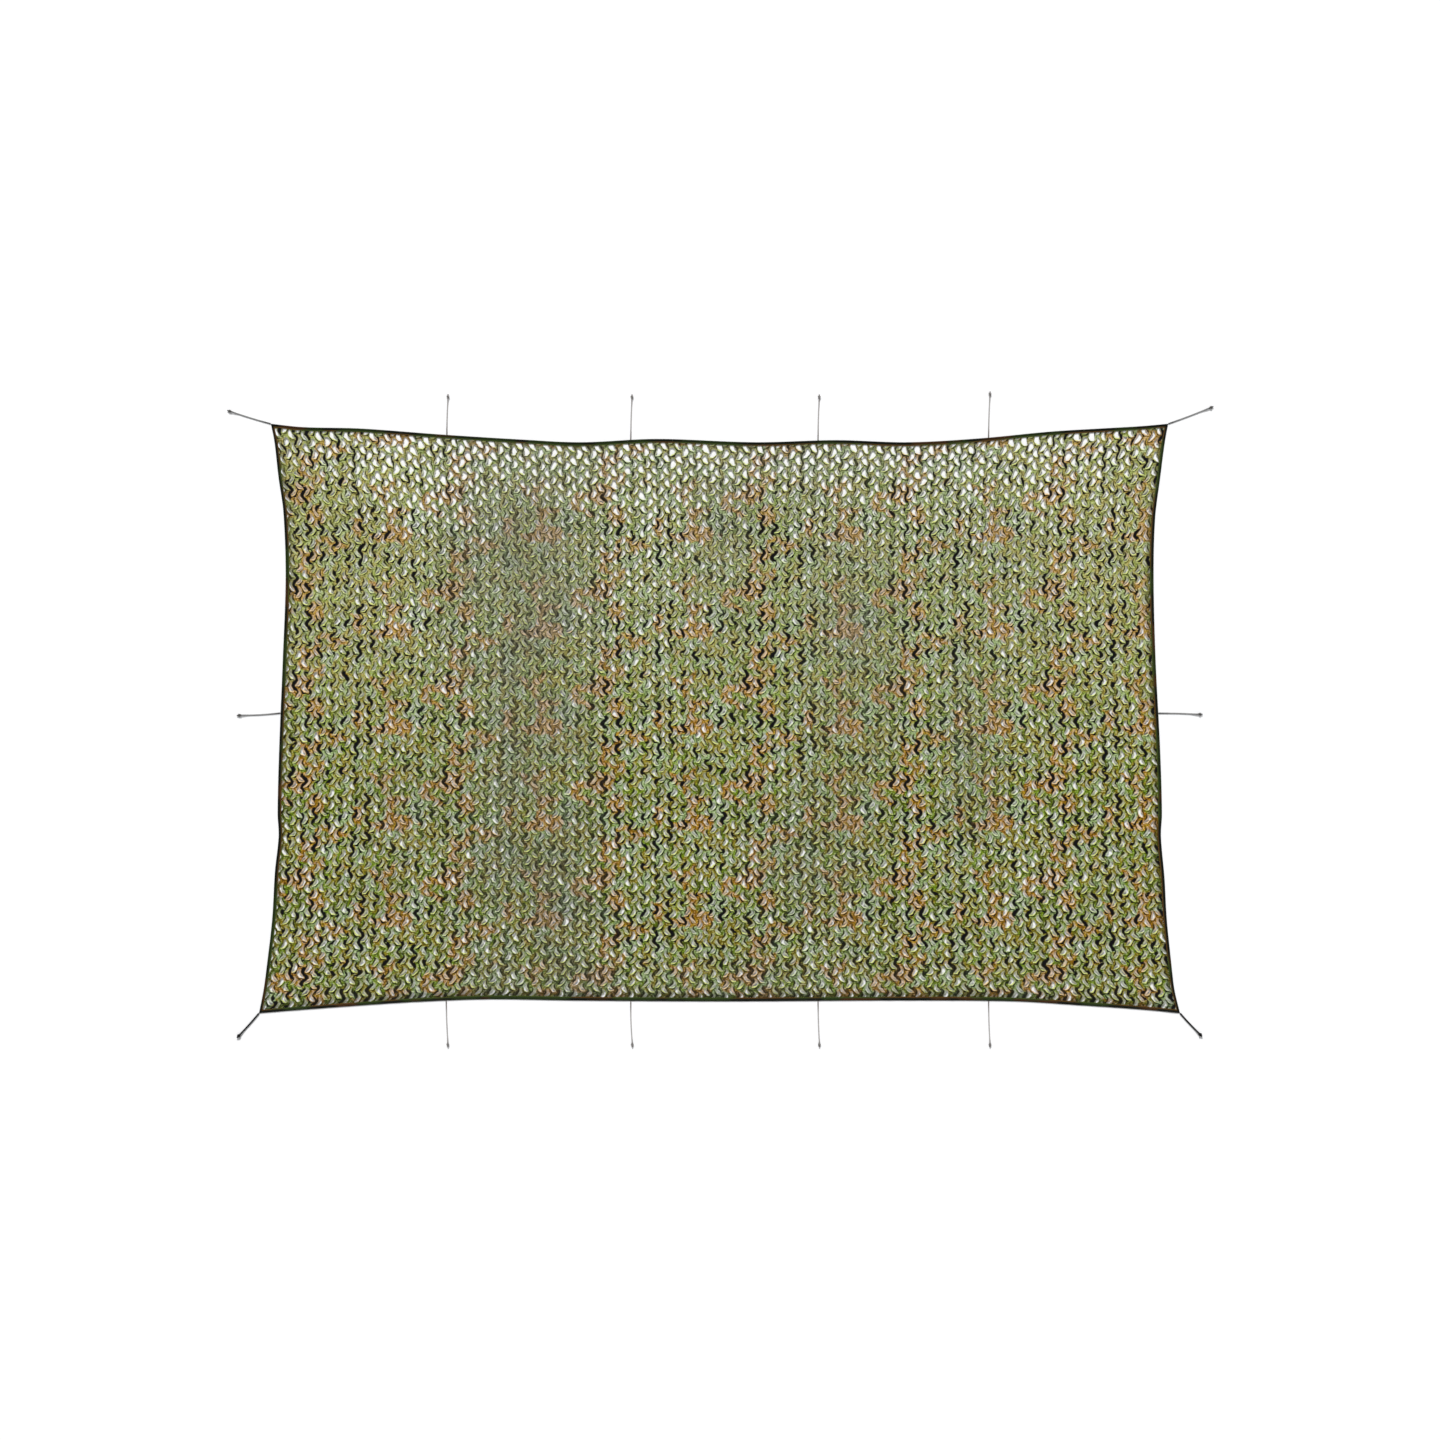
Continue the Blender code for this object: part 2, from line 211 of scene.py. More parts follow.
# ---- ovals of the cloth that are pulled open more than the rest, or less ----
PULLS = (
    Oval(-1.40, 0.75, 0.26, 0.46, -0.48),
    Oval(-1.02, 0.70, 0.26, 0.30, 0.30),
    Oval(-1.05, 0.30, 0.26, 0.24, 0.22),
    Oval(-0.64, 0.20, 0.16, 1.10, -0.30),
    Oval(-0.22, 0.48, 0.26, 0.42, 0.35),
    Oval(0.14, 0.30, 0.16, 0.70, -0.14),
    Oval(0.46, 0.05, 0.20, 0.90, -0.22),
    Oval(0.97, 0.55, 0.26, 0.46, 0.28),
    Oval(1.05, -0.45, 0.28, 0.50, 0.16),
    Oval(1.40, 0.78, 0.16, 0.36, -0.35),
    Oval(-1.30, -0.70, 0.30, 0.26, 0.22),
    Oval(-0.30, -0.55, 0.22, 0.36, 0.12),
)
OPEN_AT_TOP = 1.05            # how far slits are open under the top edge
OPEN_BELOW = 0.12             # and in the lower half
TOP_REACH = 0.24              # how far down from that edge this fades
OPEN_LIMITS = (-0.30, 1.30)
Luck = namedtuple("Luck", "scale detail seed")   # noise by which slits differ
REGION = Luck(3.5, 2.0, 0.0)    # opens whole regions more or less
REGION_SPREAD = 0.5
EACH = Luck(70.0, 0.0, 0.0)     # and each slit on its own
EACH_SPREAD = 1.4
COVER = Luck(88.0, 0.0, 12.0)   # how far each slit's leaf is drawn back
COVER_SPREAD = 1.5
COVER_LESS = 0.10
STAND = Luck(55.0, 0.0, 4.0)    # how high each slit's strands stand
CURL = Luck(80.0, 0.0, 8.0)     # which leaves curl up

# ---- ovals where the print is greyed over: the left swells, the long edges, odd spots ----
HAZE_OVALS = (
    Oval(-0.66, 0.45, 0.38, 1.00, 0.54),
    Oval(-0.63, -0.60, 0.40, 0.85, 0.54),
    Oval(0.05, 0.92, 1.35, 0.26, 0.30),
    Oval(0.00, -0.98, 1.90, 0.26, 0.42),
    Oval(0.00, 0.60, 0.18, 0.40, 0.26),
    Oval(0.45, 0.20, 0.24, 0.80, 0.36),
    Oval(0.30, -0.50, 0.34, 0.50, 0.30),
    Oval(0.85, -0.10, 0.20, 0.50, 0.30),
    Oval(-1.05, -0.30, 0.20, 0.50, 0.20),
)

# ---- colours ----


def tint(red, green, blue):
    """A colour given in the usual 0 to 255 steps, as Blender's linear one."""
    steps = [channel / 255 for channel in (red, green, blue)]
    linear = [c / 12.92 if c <= 0.04045 else ((c + 0.055) / 1.055) ** 2.4 for c in steps]
    return (*linear, 1.0)


OLIVE = tint(86, 102, 0)
GREEN = tint(118, 146, 16)
KHAKI = tint(147, 132, 24)
SAGE = tint(148, 173, 108)
RUST = tint(158, 109, 0)
TAN = tint(190, 149, 28)
NAVY = tint(9, 8, 12)
# The haze's grey, and its grey towards the bottom edge, darker there as painted shade.
HAZE_GREY = tint(116, 115, 104)
HAZE_GREY_BELOW = tint(84, 85, 71)
# Painted shade: the dark colour laid in the strands' folds, along the border and towards the bottom
# edge.
PAINTED_SHADE = tint(34, 31, 11)
BLOTCH = (0.022, 0.023, 0.006, 1.0)
# Painted light: the paler tint towards the top edge, and at the ends.
TOP_LIGHT_TINT = tint(180, 188, 142)
TOP_LIGHT_TINT_ENDS = tint(214, 207, 142)
# Painted highlight for the rim that catches the light, and painted light for a leaf's paler
# underside, on each colour of print.
LIT_RIM = tint(212, 220, 138)
LIT_RIM_SAGE = tint(213, 222, 179)
LIT_RIM_RUST = tint(230, 202, 158)
PALE_AND_LIT = tint(202, 203, 176)
PALE_AND_LIT_SAGE = tint(206, 210, 196)
PALE_AND_LIT_RUST = tint(226, 202, 180)
# The binding's tape, the print along its inner edge, and its thread.
TAPE_BLACK = tint(14, 17, 8)
TAPE_GREEN = tint(34, 48, 16)
TAPE_BROWN = tint(62, 38, 14)
TAPE_PRINT_BROWN = tint(96, 66, 22)
TAPE_PRINT_GREEN = tint(64, 80, 26)
TAPE_SHADOW = (0.01, 0.01, 0.008, 1.0)
THREAD_DARK = tint(22, 26, 14)
THREAD_LIGHT = tint(44, 48, 28)
# A cord's yarn at its two ends and in its middle, and the gaps between its strands.
Yarn = namedtuple("Yarn", "root middle")
YARNS = {
    "grey_cord": Yarn(tint(76, 76, 74), tint(150, 150, 148)),
    "black_cord": Yarn(tint(14, 14, 12), tint(22, 21, 19)),
    "pale_cord": Yarn(tint(124, 116, 112), tint(186, 182, 180)),
    "dark_knot_cord": Yarn(tint(78, 77, 74), tint(96, 94, 90)),
    "pale_knot_cord": Yarn(tint(132, 128, 126), tint(140, 137, 134)),
}
YARN_SHADOW = (0.01, 0.01, 0.01, 1.0)
FLOOR_GREY = (0.90, 0.90, 0.905, 1.0)
FLOOR_WHITE = (0.92, 0.92, 0.92, 1.0)
SKY = (0.97, 0.98, 1.0, 1.0)


# ---- node trees ----
VECTOR = "FLOAT_VECTOR"


class Wire:
    """A node's output. Arithmetic on a number adds Math nodes to its tree."""

    def __init__(self, tree, socket):
        self.tree = tree
        self.socket = socket

    def out(self, name):
        """Another output of the same node."""
        return Wire(self.tree, find_socket(self.socket.node.outputs, name))

    def __add__(self, other):
        return self.tree.math("ADD", self, other)

    def __sub__(self, other):
        return self.tree.math("SUBTRACT", self, other)

    def __rsub__(self, other):
        return self.tree.math("SUBTRACT", other, self)

    def __mul__(self, other):
        return self.tree.math("MULTIPLY", self, other)

    def __truediv__(self, other):
        return self.tree.math("DIVIDE", self, other)

    def __pow__(self, other):
        return self.tree.math("POWER", self, other)

    def __neg__(self):
        return self.tree.math("MULTIPLY", self, -1.0)

    def __abs__(self):
        return self.tree.math("ABSOLUTE", self)

    def __gt__(self, other):
        return self.tree.math("GREATER_THAN", self, other)

    __radd__ = __add__
    __rmul__ = __mul__


def find_socket(sockets, key):
    """The live socket with that name, identifier or place in the list."""
    live = [socket for socket in sockets if socket.enabled]
    if key is None:
        return live[0]
    if isinstance(key, int):
        return live[key]
    return next(socket for socket in live if key in (socket.name, socket.identifier))


class Tree:
    """A node tree under construction."""

    def __init__(self, tree):
        self.tree = tree

    def fill(self, socket, value):
        """Links a wire to a socket, or sets the socket's own value."""
        if isinstance(value, Wire):
            self.tree.links.new(value.socket, socket)
        else:
            socket.default_value = value

    def node(self, kind, inputs=None, output=None, **settings):
        """One node: its settings first, then the values or links of its sockets."""
        node = self.tree.nodes.new(kind)
        for name, value in settings.items():
            setattr(node, name, value)
        for key, value in (inputs or {}).items():
            self.fill(find_socket(node.inputs, key), value)
        return Wire(self, find_socket(node.outputs, output)) if node.outputs else None

    def math(self, operation, *values):
        return self.node("ShaderNodeMath", dict(enumerate(values)), operation=operation)

    def vector(self, operation, *values):
        return self.node("ShaderNodeVectorMath", dict(enumerate(values)), operation=operation)

    def scaled(self, vector, scale):
        return self.node("ShaderNodeVectorMath", {0: vector, "Scale": scale}, operation="SCALE")

    def join(self, x, y, z):
        return self.node("ShaderNodeCombineXYZ", {"X": x, "Y": y, "Z": z})

    def split(self, vector):
        x = self.node("ShaderNodeSeparateXYZ", {"Vector": vector})
        return x, x.out("Y"), x.out("Z")

    def clamp(self, value, low=0.0, high=1.0):
        return self.node("ShaderNodeClamp", {"Value": value, "Min": low, "Max": high})

    def ramp(self, value, low, high, start=0.0, end=1.0):
        """Goes smoothly from start to end as value goes from low to high."""
        sockets = {"Value": value, "From Min": low, "From Max": high, "To Min": start, "To Max": end}
        return self.node("ShaderNodeMapRange", sockets, interpolation_type="SMOOTHSTEP")

    def mix(self, factor, a, b):
        """Colour a turning into colour b."""
        sockets = {"Factor_Float": factor, "A_Color": a, "B_Color": b}
        return self.node("ShaderNodeMix", sockets, "Result_Color", data_type="RGBA")

    def coated(self, color, coats):
        """A colour under coats of other colours, each with its cover from 0 to 1."""
        for cover, coat in coats:
            color = self.mix(cover, color, coat)
        return color

    def speckle(self, vector, scale, detail=2.0, w=None, output=None):
        """Noise from 0 to 1, four-dimensional if w is given."""
        sockets = {"Vector": vector, "Scale": scale, "Detail": detail}
        if w is not None:
            sockets["W"] = w
        dimensions = "3D" if w is None else "4D"
        return self.node("ShaderNodeTexNoise", sockets, output, noise_dimensions=dimensions)

    def place(self):
        """Where a surface's point lies in the part's frame."""
        return self.node("ShaderNodeTexCoord", output="Object")

    def painted(self, name):
        """A value stored on a mesh's points, as its material reads it."""
        return self.node("ShaderNodeAttribute", output="Fac", attribute_name=name)

    def bump(self, height, strength, distance):
        sockets = {"Strength": strength, "Distance": distance, "Height": height}
        return self.node("ShaderNodeBump", sockets)

    def named(self, name, kind="FLOAT"):
        """A value stored on a mesh's points, as Geometry Nodes read it."""
        return self.node("GeometryNodeInputNamedAttribute", {"Name": name}, data_type=kind)

    def stored(self, geometry, name, value, kind="FLOAT", domain="POINT"):
        """The geometry with a value stored on its points or instances."""
        sockets = {"Geometry": geometry, "Name": name, "Value": value}
        return self.node("GeometryNodeStoreNamedAttribute", sockets, data_type=kind, domain=domain)


SOCKETS = {
    int: "NodeSocketInt",
    float: "NodeSocketFloat",
    bpy.types.Object: "NodeSocketObject",
    bpy.types.Material: "NodeSocketMaterial",
}


def start_group(name, geometry, values, output):
    """A Geometry Nodes group with a geometry input and one for each named value: its tree
    and its first input, the geometry."""
    group = bpy.data.node_groups.new(name, "GeometryNodeTree")
    kinds = {geometry: "NodeSocketGeometry"}
    kinds.update({label: SOCKETS[type(value)] for label, value in values.items()})
    for label, kind in kinds.items():
        group.interface.new_socket(name=label, in_out="INPUT", socket_type=kind)
    group.interface.new_socket(name=output, in_out="OUTPUT", socket_type="NodeSocketGeometry")
    tree = Tree(group)
    return tree, tree.node("NodeGroupInput")


def end_group(tree, made, finish):
    """Makes the instances real, sets their material and hands them out."""
    made = tree.node("GeometryNodeRealizeInstances", {"Geometry": made})
    made = tree.node("GeometryNodeSetMaterial", {"Geometry": made, "Material": finish})
    tree.node("NodeGroupOutput", {0: made})
    return tree.tree


# ---- outline ----
def bow_at(bows, along):
    """Inset at a place along an edge, on a smooth curve through the edge's rows."""
    upper = next(i for i in range(1, len(bows)) if along <= bows[i].along or i == len(bows) - 1)
    lower = upper - 1
    before = bows[max(lower - 1, 0)]
    after = bows[min(upper + 1, len(bows) - 1)]
    a, b = bows[lower], bows[upper]
    span = b.along - a.along
    t = (along - a.along) / span
    slope_a = (b.inset - before.inset) / (b.along - before.along) * span
    slope_b = (after.inset - a.inset) / (after.along - a.along) * span
    return (
        a.inset * (2 * t**3 - 3 * t**2 + 1)
        + slope_a * (t**3 - 2 * t**2 + t)
        + b.inset * (3 * t**2 - 2 * t**3)
        + slope_b * (t**3 - t**2)
    )


def corner(name, depth):
    """A corner of the outline, moved in by depth along both axes."""
    outer = CORNERS[name]
    return outer - Vector((math.copysign(depth, outer.x), math.copysign(depth, outer.y)))


def edge_point(side, along, depth):
    """A point of one edge, from 0 at its start corner to 1, depth in from the outline."""
    start = corner(side.start, depth)
    end = corner(side.end, depth)
    return start.lerp(end, along) + side.inward * bow_at(side.bows, along)


def panel_point(u, v, depth):
    """A point inside the four edges: u from left to right, v from bottom to top."""
    top = edge_point(SIDES["top"], u, depth)
    bottom = edge_point(SIDES["bottom"], u, depth)
    left = edge_point(SIDES["left"], 1 - v, depth)
    right = edge_point(SIDES["right"], 1 - v, depth)
    across = bottom.lerp(top, v)
    along = left.lerp(right, u)
    low = corner("bottom_left", depth).lerp(corner("bottom_right", depth), u)
    high = corner("top_left", depth).lerp(corner("top_right", depth), u)
    return across + along - low.lerp(high, v)


def crowned(ovals, x, y):
    """The sum of the ovals' smooth crowns, each as high as its amount."""
    total = 0.0
    for oval in ovals:
        away = ((x - oval.x) / oval.half_x) ** 2 + ((y - oval.y) / oval.half_y) ** 2
        if away < 1:
            total += oval.amount * (1 - away) ** 2
    return total


# ---- objects ----
def add_object(name, data):
    piece = bpy.data.objects.new(name, data)
    bpy.context.scene.collection.objects.link(piece)
    return piece


def mesh_of(name, points, faces, edges=()):
    mesh = bpy.data.meshes.new(name)
    mesh.from_pydata([tuple(point) for point in points], edges, faces)
    mesh.update()
    return mesh


def ring_faces(rings, around, first=0, closed=False):
    """Four-sided faces from each ring of points to the next."""
    for i in range(rings if closed else rings - 1):
        low, high = first + i * around, first + (i + 1) % rings * around
        for k in range(around):
            turn = (k + 1) % around
            yield low + k, low + turn, high + turn, high + k


def end_faces(rings, around):
    """The faces that close a tube's first ring and its last."""
    return [tuple(reversed(range(around))), tuple(range((rings - 1) * around, rings * around))]


def outward(mesh):
    """Turns a closed mesh's faces so that they point out."""
    volume = 0.0
    mesh.calc_loop_triangles()
    for triangle in mesh.loop_triangles:
        a, b, c = (mesh.vertices[i].co for i in triangle.vertices)
        volume += a.dot(b.cross(c))
    if volume < 0:
        mesh.flip_normals()


def store(mesh, name, values):
    """Stores a number, or a vector as a tuple, for each point of a mesh."""
    if isinstance(values[0], tuple):
        flat = [number for vector in values for number in vector]
        mesh.attributes.new(name, VECTOR, "POINT").data.foreach_set("vector", flat)
    else:
        mesh.attributes.new(name, "FLOAT", "POINT").data.foreach_set("value", values)


def grow(piece, group, values):
    """Runs a Geometry Nodes group on a piece and keeps the result as its plain mesh."""
    modifier = piece.modifiers.new(group.name, "NODES")
    modifier.node_group = group
    for item in group.interface.items_tree:
        if item.item_type == "SOCKET" and item.in_out == "INPUT" and item.name in values:
            modifier[item.identifier] = values[item.name]
    depsgraph = bpy.context.evaluated_depsgraph_get()
    mesh = bpy.data.meshes.new_from_object(piece.evaluated_get(depsgraph), depsgraph=depsgraph)
    mesh.name = piece.name
    piece.modifiers.clear()
    piece.data = mesh


# ---- camera, light and floor ----
FRAME_WIDTH = 4.838           # what the camera sees across, on the surface
AIM = Vector((0.0017, -0.0050, 0.0))
LENS = 100.0
SENSOR = 36.0
FLOOR_SIZE = 60.0
SKY_STRENGTH = 0.32
Lamp = namedtuple("Lamp", "name azimuth elevation strength spread")   # angles in degrees
LAMPS = (Lamp("key", 98, 43, 3.35, 16), Lamp("fill", -70, 60, 0.34, 60))


def make_camera():
    """Looks straight down, with the net's long side level in the frame."""
    data = bpy.data.cameras.new("camera")
    data.lens = LENS
    data.sensor_width = SENSOR
    camera = add_object("camera", data)
    camera.location = AIM + Vector((0, 0, FRAME_WIDTH * LENS / SENSOR))
    bpy.context.scene.camera = camera


def make_light(lamp):
    """A soft distant light. Azimuth is counted from +X towards +Y."""
    data = bpy.data.lights.new(lamp.name, "SUN")
    data.energy = lamp.strength
    data.angle = math.radians(lamp.spread)
    light = add_object(lamp.name, data)
    turn, rise = math.radians(lamp.azimuth), math.radians(lamp.elevation)
    flat = math.cos(rise)
    towards = Vector((flat * math.cos(turn), flat * math.sin(turn), math.sin(rise)))
    light.rotation_mode = "QUATERNION"
    light.rotation_quaternion = towards.to_track_quat("Z", "Y")


def make_studio():
    scene = bpy.context.scene
    scene.view_settings.view_transform = "Standard"
    world = bpy.data.worlds.new("studio")
    world.use_nodes = True
    background = world.node_tree.nodes["Background"]
    background.inputs["Color"].default_value = SKY
    background.inputs["Strength"].default_value = SKY_STRENGTH
    scene.world = world
    for lamp in LAMPS:
        make_light(lamp)
    half = FLOOR_SIZE / 2
    corners = [(-half, -half, 0), (half, -half, 0), (half, half, 0), (-half, half, 0)]
    floor = add_object("floor", mesh_of("floor", corners, [(0, 1, 2, 3)]))
    floor.data.materials.append(material("pale_floor", floor_finish))


def material(name, finish, *shades):
    """A material. Its finish, given the node tree, says what feeds the shader."""
    made = bpy.data.materials.new(name)
    made.use_nodes = True
    tree = Tree(made.node_tree)
    shader = made.node_tree.nodes["Principled BSDF"]
    for socket, value in finish(tree, *shades).items():
        tree.fill(shader.inputs[socket], value)
    return made


def floor_finish(tree):
    color = tree.mix(tree.speckle(tree.place(), 1.5), FLOOR_GREY, FLOOR_WHITE)
    return {"Base Color": color, "Roughness": 0.9, "Specular IOR Level": 0.2}


# ---- tie cords ----
CORD_SIDES = 14
CORD_STEP = 0.0016            # between the rings of a cord's mesh
BRAID_PITCH = 0.0075          # one turn of a strand round the cord
BRAID_STRANDS = 4             # each way round
BRAID_DEPTH = 0.10            # of the cord's radius
LIFT_SHARE = 0.2              # of a tie's run, where it rises into its knot
KNOT_RINGS = 56
KNOT_SIDES = 9
KNOT_RISE = 0.75              # of the strand's radius, up and down round the knot
TAIL_LENGTH = 0.0030          # the cut end past the knot
YARN_SCALE = 900.0            # how fine its fibres are


def tie_diameter(tie):
    return HEAVY_TIE_DIAMETER if tie.heavy else TIE_DIAMETER


def knot_diameter(tie):
    return HEAVY_KNOT_DIAMETER if tie.heavy else KNOT_DIAMETER


def tie_route(tie):
    """Points from the binding to the knot: level on the surface, then up into the knot."""
    radius = tie_diameter(tie) / 2
    knot_centre = knot_diameter(tie) / 2
    root = Vector((tie.root_x, tie.root_y))
    tip = Vector((tie.tip_x, tie.tip_y))
    run = tip - root
    reach = run.length - KNOT_LENGTH / 2 - GAP
    forward = run.normalized()
    sideways = Vector((-forward.y, forward.x))
    points = []
    for i in range(TIE_POINTS):
        t = i / (TIE_POINTS - 1)
        flat = root + forward * (reach * t) + sideways * (tie.bow * math.sin(math.pi * t))
        rise = max(0.0, (t - (1 - LIFT_SHARE)) / LIFT_SHARE)
        lift = (knot_centre - radius) * rise * rise * (3 - 2 * rise)
        points.append(Vector((flat.x, flat.y, radius + lift)))
    return points


def length_of(points):
    return sum((b - a).length for a, b in zip(points, points[1:]))


def evenly(points, step):
    """A line's points again, the same distance apart, with its length up to each."""
    count = max(2, round(length_of(points) / step))
    spacing = length_of(points) / count
    placed, travelled, wanted = [], 0.0, 0.0
    for a, b in zip(points, points[1:]):
        run = (b - a).length
        while wanted <= travelled + run + 1e-9 and len(placed) <= count:
            placed.append((a.lerp(b, (wanted - travelled) / run), wanted))
            wanted += spacing
        travelled += run
    return placed


def swept(name, line, sides, radius_at, closed=False):
    """A tube round a line of (point, distance) pairs. Its points know how far 'along' it
    they are, from 0 to 1."""
    points = [point for point, _ in line]
    count = len(points)
    vertices, along = [], []
    side = Vector((0, 0, 1))
    for i, (point, distance) in enumerate(line):
        before = points[i - 1] if i or closed else points[0]
        after = points[(i + 1) % count] if closed or i < count - 1 else points[-1]
        forward = (after - before).normalized()
        side = (side - forward * side.dot(forward)).normalized()
        other = forward.cross(side)
        for k in range(sides):
            angle = 2 * math.pi * k / sides
            out = side * math.cos(angle) + other * math.sin(angle)
            vertices.append(point + out * radius_at(distance, angle))
            along.append(distance / line[-1][1])
    faces = list(ring_faces(count, sides, closed=closed))
    if not closed:
        faces += end_faces(count, sides)
    mesh = mesh_of(name, vertices, faces)
    store(mesh, "along", along)
    mesh.shade_smooth()
    return add_object(name, mesh)


def braid_radius(radius):
    """A cord's radius at (distance, angle): strands that cross both ways round it."""

    def at(distance, angle):
        turn = 2 * math.pi * distance / BRAID_PITCH
        one = math.cos(BRAID_STRANDS / 2 * (angle + turn))
        other = math.cos(BRAID_STRANDS / 2 * (angle - turn))
        return radius * (1 - BRAID_DEPTH / 2 + BRAID_DEPTH * (max(one, other) - 0.5))

    return at


def make_knot(tie, finish):
    """A stopper knot pulled tight round the cord's end: one strand in three lobes."""
    width, strand = knot_diameter(tie), tie_diameter(tie) / 2
    forward = Vector((tie.tip_x - tie.root_x, tie.tip_y - tie.root_y, 0.0)).normalized()
    sideways = Vector((-forward.y, forward.x, 0.0))
    centre = Vector((tie.tip_x, tie.tip_y, width / 2))
    spread = (width / 2 - strand) / 3
    stretch = (KNOT_LENGTH / 2 - strand) / 3
    line = []
    for i in range(KNOT_RINGS):
        t = 2 * math.pi * i / KNOT_RINGS
        across = spread * (math.sin(t) + 2 * math.sin(2 * t))
        along = stretch * (math.cos(t) - 2 * math.cos(2 * t))
        up = Vector((0, 0, -strand * KNOT_RISE * math.sin(3 * t)))
        line.append((centre + sideways * across + forward * along + up, i / KNOT_RINGS))
    knot = swept("stopper_" + tie.name, line, KNOT_SIDES, lambda *_: strand, True)
    knot.data.materials.append(finish)
    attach(knot, BODY)
    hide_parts("knot_" + tie.name)
    return knot


def make_tie(tie, cord_yarn, knot_yarn):
    """A braided cord from the binding through its knot, with its cut tail."""
    route = tie_route(tie)
    forward = (Vector((tie.tip_x, tie.tip_y, route[-1].z)) - route[-1]).normalized()
    route.append(route[-1] + forward * (KNOT_LENGTH + TAIL_LENGTH))
    radius = tie_diameter(tie) / 2
    name = "cord_" + tie.name
    cord = swept(name, evenly(route, CORD_STEP), CORD_SIDES, braid_radius(radius))
    cord.data.materials.append(cord_yarn)
    knot = make_knot(tie, knot_yarn)
    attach(cord, BODY)
    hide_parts("tie_" + tie.name)
    length_of(route)


def cord_finish(tree, root, middle):
    """Braided yarn, dull at both ends and rubbed paler between them."""
    along = tree.painted("along")
    yarn = tree.speckle(tree.place(), YARN_SCALE, 3.0)
    rubbed = tree.ramp(along, 0.02, 0.35) * tree.ramp(along, 0.98, 0.75)
    color = tree.coated(root, (
        (rubbed, middle),
        (tree.ramp(yarn, 0.35, 0.65, 0.0, 0.45), YARN_SHADOW),
    ))
    return {
        "Base Color": color,
        "Roughness": tree.ramp(yarn, 0.3, 0.7, 0.85, 0.6),
        "Normal": tree.bump(yarn, 0.5, 0.0003),
        "Specular IOR Level": 0.15,
    }


# ---- cloth ----
def slit_cell(side):
    """The strands' meetings round a slit, clockwise from the upper left. Side is 1 for a
    slit whose nose points right, and -1 for its mirror image."""
    pitch = Vector((side * PITCH_X, 0, 0))
    row = Vector((0, PITCH_Y, 0))
    nose, far, peak, left, tip, leaf = (
        Vector((side * spot.x, spot.y, spot.height))
        for spot in (RIGHT_OF_NOSE, FAR_RIGHT, ABOVE_RIGHT, ABOVE_LEFT, PAST_TIP, PAST_LEAF)
    )
    return (left, peak, nose, peak - row, left - row, tip, far - pitch, leaf)


def strand_line(corners, segments):
    """Points along the middles of the strands round a cell."""
    points = []
    for a, b, count in zip(corners, corners[1:] + corners[:1], segments):
        for i in range(count):
            along = i / count
            point = a.lerp(b, along)
            point.z -= STRAND_DIP * math.sin(math.pi * along)
            points.append(point)
    return points


# What each point of a slit knows: its shift when the slit opens, the slit's middle, how
# near the rim it is, its height over the guide, and the last columns of its row of Rim.
SlitPoint = namedtuple("SlitPoint", "opening slit rim relief grime wear leaf")


def add_cell(middle, side, points, faces, known):
    """Rings of faces from the strands round one slit to its rim."""
    outer = strand_line(slit_cell(side), SIDE_SEGMENTS)
    first = len(points)
    for number, ring in enumerate(RINGS):
        for strand, rim in zip(outer, LEAF_SLIT):
            shut = Vector((side * rim.shut_x, rim.shut_y)) / 1000
            wide = Vector((side * rim.open_x, rim.open_y)) / 1000
            shift = (wide - shut) * ring
            rise = (0.0, INNER_RISE * rim.crest, rim.crest, rim.lip)[number] / 1000
            points.append((*(middle + strand.xy.lerp(shut, ring)), 0.0))
            known.append(SlitPoint(
                (*shift, 0.0), (*middle, 0.0), ring, strand.z * (1 - ring) + rise,
                rim.grime, rim.wear, rim.leaf,
            ))
    for a, b, c, d in ring_faces(len(RINGS), len(outer), first):
        faces.append((a, d, c, b) if side > 0 else (b, c, d, a))


def make_slit_pair():
    """A right-nosed and a left-nosed slit with the half-strands round them."""
    points, faces, known = [], [], []
    add_cell(Vector((0, 0)), 1, points, faces, known)
    add_cell(Vector((LEAN_SHIFT, PITCH_Y / 2)), -1, points, faces, known)
    mesh = mesh_of("slit_pair", points, faces)
    for name, values in zip(SlitPoint._fields, zip(*known)):
        store(mesh, name, values)
    return add_object("slit_pair", mesh)


def guide_mesh():
    """The whole panel's surface with its swells, its UV map the cloth pulled flat."""
    points, pulls, haze_shares = [], [], []
    for j in range(GUIDE_ROWS + 1):
        for i in range(GUIDE_COLUMNS + 1):
            x, y = panel_point(i / GUIDE_COLUMNS, j / GUIDE_ROWS, HELD_DEPTH)
            held = i in (0, GUIDE_COLUMNS) or j in (0, GUIDE_ROWS)
            height = CLOTH_REST + SWELL_SHARE * crowned(SWELLS, x, y)
            points.append((x, y, HELD_HEIGHT if held else height))
            pulls.append(crowned(PULLS, x, y))
            haze_shares.append(crowned(HAZE_OVALS, x, y))
    row = GUIDE_COLUMNS + 1
    lows = [j * row + i for j in range(GUIDE_ROWS) for i in range(GUIDE_COLUMNS)]
    mesh = mesh_of("guide", points, [(low, low + 1, low + row + 1, low + row) for low in lows])
    store(mesh, "pull", pulls)
    store(mesh, "dust_map", haze_shares)
    uv = mesh.uv_layers.new(name="pulled_flat")
    for loop in mesh.loops:
        line, column = divmod(loop.vertex_index, row)
        uv.data[loop.index].uv = (column / GUIDE_COLUMNS, line / GUIDE_ROWS)
    return mesh


